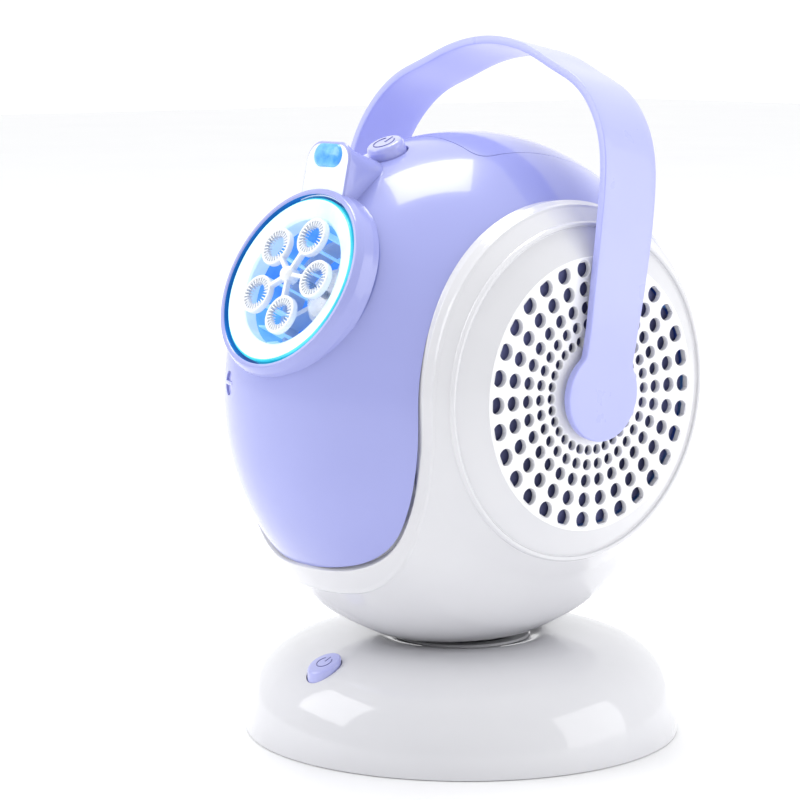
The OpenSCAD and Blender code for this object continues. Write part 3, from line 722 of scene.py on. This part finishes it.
def cradle_lip(edge):
    """Points from under the saddle over the rounded edge, and across the rolled lip to the plain shell."""
    x, angle = edge[:, 0], edge[:, 1]
    base = white_point(x, angle)
    normals = white_normal(x, angle)
    inward = edge_directions(base, normals)
    if inward[0, 2] < 0:
        inward = -inward
    # The edge crosses the middle plane at both ends, where it turns straight up
    for end in (0, -1):
        upward = unit((0, normals[end, 2], -normals[end, 1]))
        inward[end] = upward * np.sign(upward[2])
    low = 1 - smoothstep(22, 52, x)
    band = LIP_WIDTH + LIP_WIDTH_ADDED * low
    reach = band + 2.5
    rows = []
    coarse, fine = np.linspace(0, 0.75, 12, endpoint=False), np.linspace(0.75, 1.0, 14)
    for share in np.concatenate([coarse, fine]):
        d = share * reach
        bead = np.clip(1 - np.abs(d - band) / LIP_BEAD_W, 0, 1)
        depth = LIP_BEAD_H * bead * bead * (3 - 2 * bead) - LIP_DIP * np.clip(1 - d / band, 0, 1)
        on_surface = white_chart(base - inward * d[:, None])
        rows.append(white_point(*on_surface) + white_normal(*on_surface) * depth[:, None])
    across_lip = np.stack(rows, 1)

    start = across_lip[:, 0]
    lip_normals = unit(np.cross(np.gradient(start, axis=0), across_lip[:, 1] - start))
    lip_normals *= np.sign((lip_normals * normals).sum(-1))[:, None]
    across = unit(inward - (inward * lip_normals).sum(-1, keepdims=True) * lip_normals)
    # Beside the grilles the wall under the edge runs towards the middle plane
    side = smoothstep(51, 58.5, x)
    to_middle = np.arccos(np.clip(-across[:, 0], -1, 1))
    under = lip(
        start, across, lip_normals, CRADLE_ROUND + 0.8 * side,
        math.pi / 2 * (1 - side) + to_middle * side, LIP_WALL + 4 * side, tongue=LIP_TONGUE,
    )
    return np.stack(under[::-1], 1), across_lip


def cradle_body(across_lip):
    """Grid from the lip's outer side to the ring round the grille, closed below along the middle plane."""
    middle_steps, ring_steps = 60, 40
    outer_x, outer_angle = white_chart(across_lip[:, -1])
    below = np.linspace(-math.pi / 2, outer_angle[0], middle_steps, endpoint=False)
    behind = np.linspace(outer_angle[-1], 1.5 * math.pi, middle_steps + 1)[1:]
    start_x = np.concatenate([np.zeros(middle_steps), outer_x, np.zeros(middle_steps)])
    start_angle = np.concatenate([below, outer_angle, behind])
    steps = np.linalg.norm(np.diff(white_point(start_x, start_angle), axis=0), axis=1)
    length = np.concatenate([[0], np.cumsum(steps)])
    # Below the sides the rows spread evenly round the ring instead of keeping their angle
    front = int(np.argmax((start_angle > math.radians(-12)) & (start_x > 56)))
    from_rear = ((start_angle < math.radians(186)) & (start_x > 56))[::-1]
    rear = len(start_angle) - 1 - int(np.argmax(from_rear))
    ring_angle = start_angle.copy()
    ring_angle[:front] = np.interp(
        length[:front], [0, length[front]], [-math.pi / 2, start_angle[front]],
    )
    ring_angle[rear:] = np.interp(
        length[rear:], [length[rear], length[-1]], [start_angle[rear], 1.5 * math.pi],
    )

    share = np.linspace(0, 1, ring_steps)
    body = white_point(
        start_x[:, None] + (RING_X - start_x[:, None]) * share,
        start_angle[:, None] + (ring_angle - start_angle)[:, None] * share,
    )
    body[middle_steps:middle_steps + len(outer_x), 0] = across_lip[:, -1]
    rows = [body]
    for back in (RING_STEP, RING_DEPTH):
        ring = body[:, -1] - np.array([back, 0, 0])
        ring[:, 1:] = PIVOT[1:] + (body[:, -1, 1:] - PIVOT[1:]) * (RING_R - RING_STEP) / RING_R
        rows.append(ring[:, None])
    return np.concatenate(rows, 1)


def build_cradle():
    under, across_lip = cradle_lip(white_edge())
    points, faces, first = [], [], 0
    for grid in (np.concatenate([under, across_lip], 1), cradle_body(across_lip)):
        for sign in (1, -1):
            block = grid * np.array([sign, 1, 1])
            block[..., 2] = np.maximum(block[..., 2], HEAD_FLOOR)
            quads = grid_faces(block.shape[0], block.shape[1], first)
            faces += quads if sign > 0 else [q[::-1] for q in quads]
            points.append(block.reshape(-1, 3))
            first += block.shape[0] * block.shape[1]
    return mesh_object("cradle_skin", np.concatenate(points), faces, gloss_white, sharp=40)


# ---------------------------------------------------------------- pieces of the head


def build_collar():
    """Raised collar round the mouth, with its inner wall dark blue and faintly glowing as painted shade."""
    profile = rounded_outline(
        [
            (33.7, 85.6, 0), (37.6, 85.6, 0), (37.6, 88.5, 2), (36.9, 92.4, 3), (35.6, 94.9, 1.3),
            (34.3, 95.1, 0.4), (33.7, 94.6, 0.3),
        ],
        True, 6,
    )
    # The inner wall takes the dark blue painted shade
    return lathe(
        "mouth_collar_skin", profile, MOUTH, [lilac, painted_shade_blue], steps=200,
        bands=lambda p: 1 if p[0] < 33.8 else 0,
    )


def build_light_ring():
    """Milky ring, almost flat in front, with the floor of the gap round it dark blue and faintly glowing as
    painted shade.
    """
    profile = rounded_outline(
        [
            (32.5, 87, 0), (32.5, 93.6, 0.5), (31.9, 94.3, 0.5), (30.9, 94.3, 0.6), (25.5, 92.9, 1.2),
            (24.7, 92.2, 0.6), (24.7, 87, 0),
        ],
        True, 5,
    )
    ring = lathe(
        "ring", profile, MOUTH, [glow_white, glow_cyan], steps=200, bands=lambda p: 1 if p[0] > 31.7 else 0,
    )
    # A dark blue ring down in the gap, there only as painted shade
    floor = [(32.4, 86.6), (33.8, 86.6), (33.8, 87.4), (32.4, 87.4)]
    gap_floor = lathe("gap_floor", floor, MOUTH, painted_shade_blue, steps=120)
    return joined("light_ring_skin", [ring, gap_floor])


def turned(angle):
    """4 x 4 matrix of a turn about Z."""
    c, s = math.cos(angle), math.sin(angle)
    return np.array([[c, -s, 0, 0], [s, c, 0, 0], [0, 0, 1, 0], [0, 0, 0, 1]])


def moved(x, y, z):
    matrix = np.eye(4)
    matrix[:3, 3] = x, y, z
    return matrix


def bar_section(x, half, low, high, foot, top, steps):
    """Rounded rectangle across X; foot and top are the radii of its lower and upper corners."""
    corners = [(-half, low, foot), (half, low, foot), (half, high, top), (-half, high, top)]
    return [(x, y, z) for y, z in rounded_outline(corners, True, steps)]


def build_loop(arm):
    """One wand loop with its spoke and its inner teeth; arm is the frame its spoke runs along."""
    centre = arm @ moved(LOOP_CIRCLE_R, 0, 0)
    inner = LOOP_R - LOOP_WALL
    low, high = LOOP_HEIGHTS
    corners = [(inner, low, 0.4), (LOOP_R, low, 0.4), (LOOP_R, high, 0.6), (inner, high, 0.5)]
    parts = [lathe("ring", rounded_outline(corners, True, 4), centre, wheel_white, steps=72)]
    end = LOOP_CIRCLE_R - LOOP_R + 0.5
    spoke = [
        bar_section(x, w, low + 0.1, high - 0.1, 0.3, 0.3, 3)
        for x, w in ((2.2, 1.0), (3.8, 0.75), (end - 1, 0.75), (end, 1.1))
    ]
    parts.append(loft("spoke", [placed(arm, section) for section in spoke], wheel_white))
    for k in range(LOOP_TEETH):
        tooth_frame = centre @ turned(2 * math.pi * (k + 0.5) / LOOP_TEETH)
        tooth = [
            [(r, -w, low + 0.2), (r, w, low + 0.2), (r, w, high - 0.2), (r, -w, high - 0.2)]
            for r, w in ((inner + 0.2, 0.24), (inner - 1.0, 0.20), (inner - 2.1, 0.09))
        ]
        parts.append(loft("tooth", [placed(tooth_frame, section) for section in tooth], wheel_white))
    return parts


def build_wheel():
    hub = [(0, 0, 0), (3.0, 0, 0.3), (3.0, 4.2, 1.4), (2.0, 5.6, 1.8), (0, 6, 0)]
    parts = [lathe("hub", rounded_outline(hub, False, 8), WHEEL, wheel_white, closed=False, steps=64)]
    for i in range(LOOPS):
        parts += build_loop(WHEEL @ turned(2 * math.pi * (i - 1) / LOOPS + WHEEL_TURN))
    return joined("wand_wheel_skin", parts)


def build_duct():
    """Lit liner of the air duct with its guide ribs."""
    parts = [
        lathe("liner", [(24.9, 56), (24.9, 86.9), (26.2, 86.9), (26.2, 56)], MOUTH, duct_blue, steps=128),
        lathe("back", [(9.6, 66), (24.9, 60), (24.9, 59), (9.6, 65)], MOUTH, duct_blue, steps=96),
    ]
    for k in range(DUCT_RIBS):
        turn = MOUTH @ turned(2 * math.pi * (k + 0.3) / DUCT_RIBS)
        fin = [[(24.8, y, 61), (22.6, y, 64), (22.6, y, 82), (24.8, y, 86)] for y in (-0.45, 0.45)]
        parts.append(loft("fin", [placed(turn, section) for section in fin], duct_ribs))
    return joined("duct_liner", parts)


def brow_section(y, top, half, corner, lean):
    """Closed section of the brow from foot to foot, leaning back towards its top at y."""
    outline = [(half, 200)]
    for k in range(13):
        a = math.pi / 2 * k / 12
        outline.append((half - corner + corner * math.cos(a), top - corner + corner * math.sin(a)))
    outline += [(-x, z) for x, z in outline[::-1]]
    return [(x, y - lean * (BROW_TOP - z), z) for x, z in outline]


def build_brow():
    """Block over the mouth: a leaning front with rounded edges, painted pale and faintly glowing as painted light,
    and a ridge running back.
    """
    front = BROW_FOOT[0] + (BROW_TOP - BROW_FOOT[1]) * BROW_LEAN
    edge = 0.9
    sections = []
    for k in range(6):
        a = math.pi / 2 * k / 5
        sections.append(brow_section(
            front + edge * (1 - math.cos(a)), BROW_TOP - edge * (1 - math.sin(a)),
            11.9 + 0.7 * math.sin(a), 6.4 + 0.6 * math.sin(a), BROW_LEAN,
        ))
    for k, (y, top, half) in enumerate(BROW_RIDGE):
        sections.append(brow_section(y, top, half, 7, BROW_LEAN * max(0.0, 1 - k / 4)))
    brow = loft("brow_skin", sections, [lilac, brow_painted_light], sharp=30)
    # The front face takes the pale glowing painted light
    for polygon in brow.data.polygons:
        if polygon.normal.y < -0.9 and len(polygon.vertices) > 4:
            polygon.material_index = 1
    # Room for the light ring below and for the top button behind
    return cut(brow, cylinder(33.4, 60, 130, MOUTH, 128), cylinder(7.9, -30, 20, BUTTON_TOP, 96))


def build_brow_lamp():
    """Oblong lens set in the brow's front face, a little proud of it."""
    y = BROW_FOOT[0] + (LENS_Z - BROW_FOOT[1]) * BROW_LEAN
    face = local_frame((0, y, LENS_Z), (0, -1, BROW_LEAN), (1, 0, 0))
    sections = []
    for inset, z in ((0, -3), (0, 0.1), (0.15, 0.45), (0.5, 0.75), (1.4, 1.0), (3.0, 1.2)):
        sections.append(placed(face, [(x, y, z) for y, x in stadium(4.4, 8.0, inset)]))
    return loft("brow_lamp_skin", sections, lens_blue, sharp=50)


def power_icon(name, radius, wire, place):
    """Raised power mark: an open ring with a bar in its gap."""
    parts = []
    turns = np.linspace(0, 2 * math.pi, 9)[:-1]
    section = [(wire / 2 * math.cos(a), wire * 0.4 * math.sin(a)) for a in turns]
    arc = np.radians(np.linspace(125, 415, 60))
    rows = [
        [((radius + u) * math.cos(a), (radius + u) * math.sin(a), v) for u, v in section] for a in arc
    ]
    parts.append(loft("arc", [placed(place, row) for row in rows], icon_lilac, sharp=60))
    bar = [[(u, y, v) for u, v in section] for y in np.linspace(radius * 0.15, radius * 1.15, 6)]
    parts.append(loft("bar", [placed(place, row) for row in bar], icon_lilac, sharp=60))
    return joined(name, parts)


def build_top_button():
    corners = [(0, -6, 0), (7.2, -6, 0), (7.25, 2.6, 1.2), (6.6, 4.4, 1.8), (4.6, 4.5, 1.0), (0, 4.4, 0)]
    profile = rounded_outline(corners, False, 8)
    return lathe("top_button_skin", profile, BUTTON_TOP, lilac_button, closed=False, steps=96)


def build_plug():
    """Round plug with a grip bar across it."""
    corners = [(0, -4, 0), (4.45, -4, 0), (4.45, 1.3, 0.4), (0, 1.4, 0)]
    profile = rounded_outline(corners, False, 4)
    disc = lathe("disc", profile, PLUG, lilac_button, closed=False, steps=64)
    ends = [(4.05, 0.5, 1.7), (3.7, 0.75, 2.3)]
    rows = [(-x, w, h) for x, w, h in ends] + [(0, 0.8, 2.6)] + ends[::-1]
    bar = [placed(PLUG, bar_section(x, w, -0.4, h, 0, 0.5, 4)) for x, w, h in rows]
    return joined("turn_plug_skin", [disc, loft("bar", bar, lilac_button)])


# ---------------------------------------------------------------- side grilles


def circle_spline(curve, centre, radius, count):
    spline = curve.splines.new("POLY")
    spline.points.add(count - 1)
    for k, point in enumerate(spline.points):
        a = 2 * math.pi * k / count
        point.co = ((centre[0] + radius * math.cos(a)) * MM, (centre[1] + radius * math.sin(a)) * MM, 0, 1)
    spline.use_cyclic_u = True


def build_grille_plate():
    """Flat perforated plate with rounded hole edges, in the side frame."""
    thickness, round_over = 2.4, 0.3
    curve = bpy.data.curves.new("plate", "CURVE")
    curve.dimensions = "2D"
    curve.fill_mode = "BOTH"
    curve.extrude = (thickness / 2 - round_over) * MM
    curve.bevel_depth = round_over * MM
    curve.bevel_resolution = 2
    curve.offset = -round_over * MM
    circle_spline(curve, (0, 0), GRILLE_FIELD_R + 0.4, 160)
    for ring_r, hole_r in GRILLE_RINGS:
        for k in range(GRILLE_HOLES):
            a = GRILLE_PHASE + 2 * math.pi * k / GRILLE_HOLES
            circle_spline(curve, (ring_r * math.cos(a), ring_r * math.sin(a)), hole_r, 36)
    holder = linked("plate", curve)
    graph = bpy.context.evaluated_depsgraph_get()
    mesh = bpy.data.meshes.new_from_object(holder.evaluated_get(graph))
    bpy.data.objects.remove(holder)
    place = SIDE.copy()
    place[0, 3] = GRILLE_FACE - thickness / 2
    metres = place.copy()
    metres[:3, 3] *= MM
    mesh.transform(Matrix(metres.tolist()))
    mesh.materials.clear()
    mesh.materials.append(grille_white)
    shade(mesh, 35)
    return linked("plate", mesh)


def build_grille():
    """Perforated plate with the white cone and rim round it."""
    face = GRILLE_FACE
    cone = rounded_outline(
        [
            (49.0, face - 2.3, 0), (49.0, face - 0.12, 0), (50.4, face - 0.12, 0.3), (60.9, 66.1, 0.5),
            (61.3, 67.0, 0.5), (62.4, 67.1, 0.6), (63.0, 66.0, 0.5), (63.0, 65.2, 0), (61.6, 65.2, 0),
            (60.6, 64.6, 0.5), (50.2, face - 3, 0),
        ],
        True, 5,
    )
    ring = lathe("cone", cone, SIDE, gloss_white, steps=220)
    return joined("grille_right_skin", [build_grille_plate(), ring])


def build_screens():
    """Fine screens behind both perforated plates; their dark navy to lilac mottling is painted shade for the
    inside of the head seen through the holes.
    """
    corners = [(8.6, 69.0, 0.1), (48.6, 69.0, 0.1), (48.6, 69.6, 0.1), (8.6, 69.6, 0.1)]
    right = lathe("screen", rounded_outline(corners, True, 2), SIDE, screen_painted_shade, steps=96)
    return joined("dust_screens_skin", [right, mirrored(right, "screen")])


# ---------------------------------------------------------------- handle


def strap_half_width(s, inset):
    """Half width of the strap at arc length s from its round end, less an inset all round."""
    v = s - STRAP_END_R
    disc = math.sqrt(max(0.0, (STRAP_END_R - inset) ** 2 - v * v))
    strap = np.interp(s, *STRAP_WIDTHS) - inset
    if v < 4:
        return disc
    blend = 1.2
    near = max(blend - abs(disc - strap), 0)
    return max(disc, strap) + near * near / (4 * blend)


def build_handle():
    """Flat strap with round ends, along the handle's outline; depth is measured from its outer face."""
    half = resampled(np.array(HANDLE_OUTLINE[::-1], float), 1.0)
    curve = relaxed(np.concatenate([half, half[-2::-1] * np.array([-1, 1])]), 40)
    step = np.linalg.norm(np.diff(curve, axis=0), axis=1)
    length = np.concatenate([[0], np.cumsum(step)])
    total = length[-1]
    tangent = unit(np.gradient(curve, axis=0))
    inward = np.stack([-tangent[:, 1], tangent[:, 0]], -1)
    if inward[len(inward) // 2, 1] > 0:
        inward = -inward

    def strap_point(s, depth, y):
        x, v = (np.interp(s, length, curve[:, k]) for k in (0, 1))
        nx, nv = (np.interp(s, length, inward[:, k]) for k in (0, 1))
        x, v = x + nx * depth, v + nv * depth
        return (x, y * math.cos(HANDLE_LEAN) + v * math.sin(HANDLE_LEAN),
                PIVOT_Z - y * math.sin(HANDLE_LEAN) + v * math.cos(HANDLE_LEAN))

    edge = 0.55
    layers = []
    for k in range(5):
        a = math.pi / 2 * k / 4
        layers.append((edge * (1 - math.sin(a)), edge * (1 - math.cos(a))))
    layers = layers + [(inset, STRAP_T - depth) for inset, depth in layers[::-1]]
    beta = np.linspace(0, math.radians(135), 40)
    disc_rows = STRAP_END_R * (1 - np.cos(beta))
    strap_rows = np.linspace(disc_rows[-1], total / 2, 110)[1:]
    rows = np.concatenate([disc_rows, strap_rows])
    rows = np.concatenate([rows, total - rows[-2::-1]])
    shares = (np.linspace(-1, 1, 9)[1:-1] + 1) / 2
    count = len(layers)
    sections = []
    for s in rows:
        from_end = min(s, total - s)
        offset = 0.9 * float(smoothstep(6, 40, from_end))
        loop = []
        for side, order in ((1, layers), (-1, layers[::-1])):
            for inset, depth in order:
                shrink = inset * max(0.0, 1 - from_end / STRAP_END_R)
                at = from_end + shrink
                width = strap_half_width(at, inset)
                place = at if s <= total / 2 else total - at
                loop.append(np.array(strap_point(place, depth, offset + side * width)))
        # The two flat faces get columns of their own, so that they follow the bend evenly
        fill_inner = [loop[count - 1] * (1 - t) + loop[count] * t for t in shares]
        fill_outer = [loop[-1] * (1 - t) + loop[0] * t for t in shares]
        sections.append(loop[:count] + fill_inner + loop[count:] + fill_outer)
    return loft("handle_skin", sections, lilac_strap, sharp=40, caps=False)


# ---------------------------------------------------------------- base


def stadium(half_width, half_length, inset, count=24):
    """Outline of an oblong with round ends, longer along Y."""
    r = half_width - inset
    straight = half_length - half_width
    return [
        (r * math.cos(a), middle + r * math.sin(a))
        for middle, start in ((straight, 0), (-straight, math.pi))
        for a in np.linspace(start, start + math.pi, count)
    ]


def build_base():
    """Domed shell with the neck's hole and the button's hole."""
    outer = relaxed(resampled(BASE_OUTLINE, 1.2), 4)
    outer = np.concatenate([[(83.9, 0.3)], outer])
    inner = [(r - SHELL, z - SHELL * max(0, z - 1.4) / 36.6) for r, z in BASE_OUTLINE]
    neck = [(NECK_HOLE_R, 36.0), (NECK_HOLE_R, 33.6)]
    profile = np.concatenate([outer, neck, inner[::-1]])
    shell = lathe("base_skin", profile, UPRIGHT, gloss_white, steps=220)
    return cut(shell, cylinder(BASE_BUTTON_R + BUTTON_GAP, 10, 60, moved(0, BASE_BUTTON_Y, 0), 96))


def build_base_button():
    """Round post whose rounded top slopes to the front."""
    slope = math.tan(BASE_BUTTON_SLOPE)
    edge = 1.1
    angles = np.linspace(0, 2 * math.pi, 96, endpoint=False)

    def ring(radius, z, tilt):
        return [(radius * math.cos(a), BASE_BUTTON_Y + radius * math.sin(a), z + radius * math.sin(a) * tilt)
                for a in angles]

    sections = [ring(BASE_BUTTON_R, 24, 0)]
    for k in range(8):
        a = math.pi / 2 * k / 7
        inset = edge * (1 - math.cos(a))
        sections.append(ring(BASE_BUTTON_R - inset, BASE_BUTTON_FACE_Z - edge * (1 - math.sin(a)), slope))
    sections.append(ring(BASE_BUTTON_R * 0.4, BASE_BUTTON_FACE_Z + 0.05, slope))
    return loft("base_button_skin", sections, lilac_button, sharp=45)


# ---------------------------------------------------------------- assembly of the looks

finish_piece(build_saddle(), "head", "lilac", "saddle")
finish_piece(build_lid(), "lid", "lilac", "fill_lid")
finish_piece(build_cradle(), "head", "gloss_white", "cradle")
finish_piece(build_collar(), "head", "lilac", "mouth_collar")
finish_piece(build_light_ring(), "head", "glow", "light_ring")
finish_piece(build_wheel(), "wheel", "wheel_white", "wand_wheel")
finish_piece(build_duct(), "head", "duct_blue")
finish_piece(build_brow(), "head", "lilac", "brow")
finish_piece(build_brow_lamp(), "head", "lens_blue", "brow_lens")
finish_piece(build_top_button(), "top_button_body", "lilac_button", "top_button")
finish_piece(
    power_icon("top_button_mark", 4.1, 0.62, BUTTON_TOP @ moved(0, 0, 4.5)),
    "top_button_body", "lilac_button",
)
finish_piece(build_plug(), "plug", "lilac_button", "turn_plug")
grille_right = build_grille()
grille_left = mirrored(grille_right, "grille_left_skin")
finish_piece(grille_right, "head", "grille_white", "grille_right")
finish_piece(grille_left, "head", "grille_white", "grille_left")
finish_piece(build_screens(), "head", "screen", "dust_screens")
finish_piece(build_handle(), "bail", "lilac_strap", "handle")
finish_piece(build_base(), "base", "gloss_white", "base_shell")
finish_piece(build_base_button(), "base_button_body", "lilac_button", "base_button")
base_mark = local_frame(
    (0, BASE_BUTTON_Y, BASE_BUTTON_FACE_Z),
    (0, -math.sin(BASE_BUTTON_SLOPE), math.cos(BASE_BUTTON_SLOPE)), (1, 0, 0),
)
finish_piece(power_icon("base_button_mark", 3.0, 0.5, base_mark), "base_button_body", "lilac_button")

for part in frame["record"]["subparts"]:
    if part["node"] not in replaced:
        node = frame["nodes"][part["node"]]
        node.data.materials.clear()
        node.data.materials.append(SLOT_MATERIALS[part["material_slot"]])

# ---------------------------------------------------------------- floor, light and camera


# Direction the surround is brightest in; the stops give its level against the cosine to that direction
WORLD_BRIGHT = unit((-0.55, 0.55, 0.65))
WORLD_STRENGTH = 1.07
WORLD_STOPS = [(0.0, 0.72), (0.15, 0.84), (0.35, 0.98), (1.0, 1.10)]
# Name, place, target (m), width, height (m), power (W)
LIGHTS = [
    ("overhead", (-0.5, 0.3, 2.2), (0, 0, 0.1), 1.0, 1.0, 21),
    ("front_left", (-1.05, -1.55, 1.25), (0, 0, 0.1), 1.4, 1.2, 13),
    ("right", (1.7, 1.15, 0.5), (0, 0, 0.1), 1.5, 1.7, 14),
]
FLOOR_HALF = 6000.0

# Camera: where it stands (angle from -Y towards +X, distance from the origin's upright axis and height in
# metres), the direction it looks back along, and its lens in mm
CAMERA_STAND = math.radians(49.016)
CAMERA_DISTANCE = 1.058903
CAMERA_HEIGHT = 0.275138
CAMERA_AZIMUTH = math.radians(50.323)
CAMERA_TILT = math.radians(7.896)
CAMERA_LENS = 124.25


def build_floor():
    """Pale, wide, flat floor."""
    matt = noisy(
        "floor", (0.93, 0.93, 0.935), (0.95, 0.95, 0.95), (3, 3), (20, 3, 0.45, 0.6), (400, 3, 0.02, 0.0005),
    )
    corners = [(x * FLOOR_HALF, y * FLOOR_HALF, 0) for x, y in ((-1, -1), (1, -1), (1, 1), (-1, 1))]
    floor = mesh_object("floor", corners, [(0, 1, 2, 3)], matt)


def area_light(name, position, target, width, height, energy):
    lamp = bpy.data.lights.new(name, "AREA")
    lamp.shape = "RECTANGLE"
    lamp.size, lamp.size_y = width, height
    lamp.energy = energy
    obj = linked(name, lamp)
    obj.location = position
    obj.rotation_mode = "QUATERNION"
    obj.rotation_quaternion = (Vector(target) - Vector(position)).to_track_quat("-Z", "Y")


def build_world():
    """Even studio surround: brighter overhead and behind the object, darker in front of it."""
    world = bpy.data.worlds.new("studio")
    world.use_nodes = True
    tree = world.node_tree
    background = tree.nodes["Background"]
    direction = tree.nodes.new("ShaderNodeTexCoord").outputs["Generated"]
    toward = tree.nodes.new("ShaderNodeVectorMath")
    toward.operation = "DOT_PRODUCT"
    toward.inputs[1].default_value = tuple(WORLD_BRIGHT)
    tree.links.new(direction, toward.inputs[0])
    ramp = tree.nodes.new("ShaderNodeValToRGB")
    tree.links.new(toward.outputs["Value"], ramp.inputs["Fac"])
    elements = ramp.color_ramp.elements
    while len(elements) < len(WORLD_STOPS):
        elements.new(0.5)
    for element, (where, level) in zip(elements, WORLD_STOPS):
        element.position = where
        element.color = (level * 0.985, level * 0.99, level, 1)
    tree.links.new(ramp.outputs["Color"], background.inputs["Color"])
    background.inputs["Strength"].default_value = WORLD_STRENGTH
    bpy.context.scene.world = world


build_floor()
build_world()
bpy.context.scene.view_settings.view_transform = "Standard"
for light in LIGHTS:
    area_light(*light)

camera_data = bpy.data.cameras.new("camera")
camera_data.lens = CAMERA_LENS
camera_data.sensor_width = 36
camera_data.clip_start = 0.05
camera = linked("camera", camera_data)
camera.location = (
    math.sin(CAMERA_STAND) * CAMERA_DISTANCE, -math.cos(CAMERA_STAND) * CAMERA_DISTANCE, CAMERA_HEIGHT,
)
back = Vector((
    math.sin(CAMERA_AZIMUTH) * math.cos(CAMERA_TILT), -math.cos(CAMERA_AZIMUTH) * math.cos(CAMERA_TILT),
    math.sin(CAMERA_TILT),
))
camera.rotation_mode = "QUATERNION"
camera.rotation_quaternion = (-back).to_track_quat("-Z", "Y")
bpy.context.scene.camera = camera
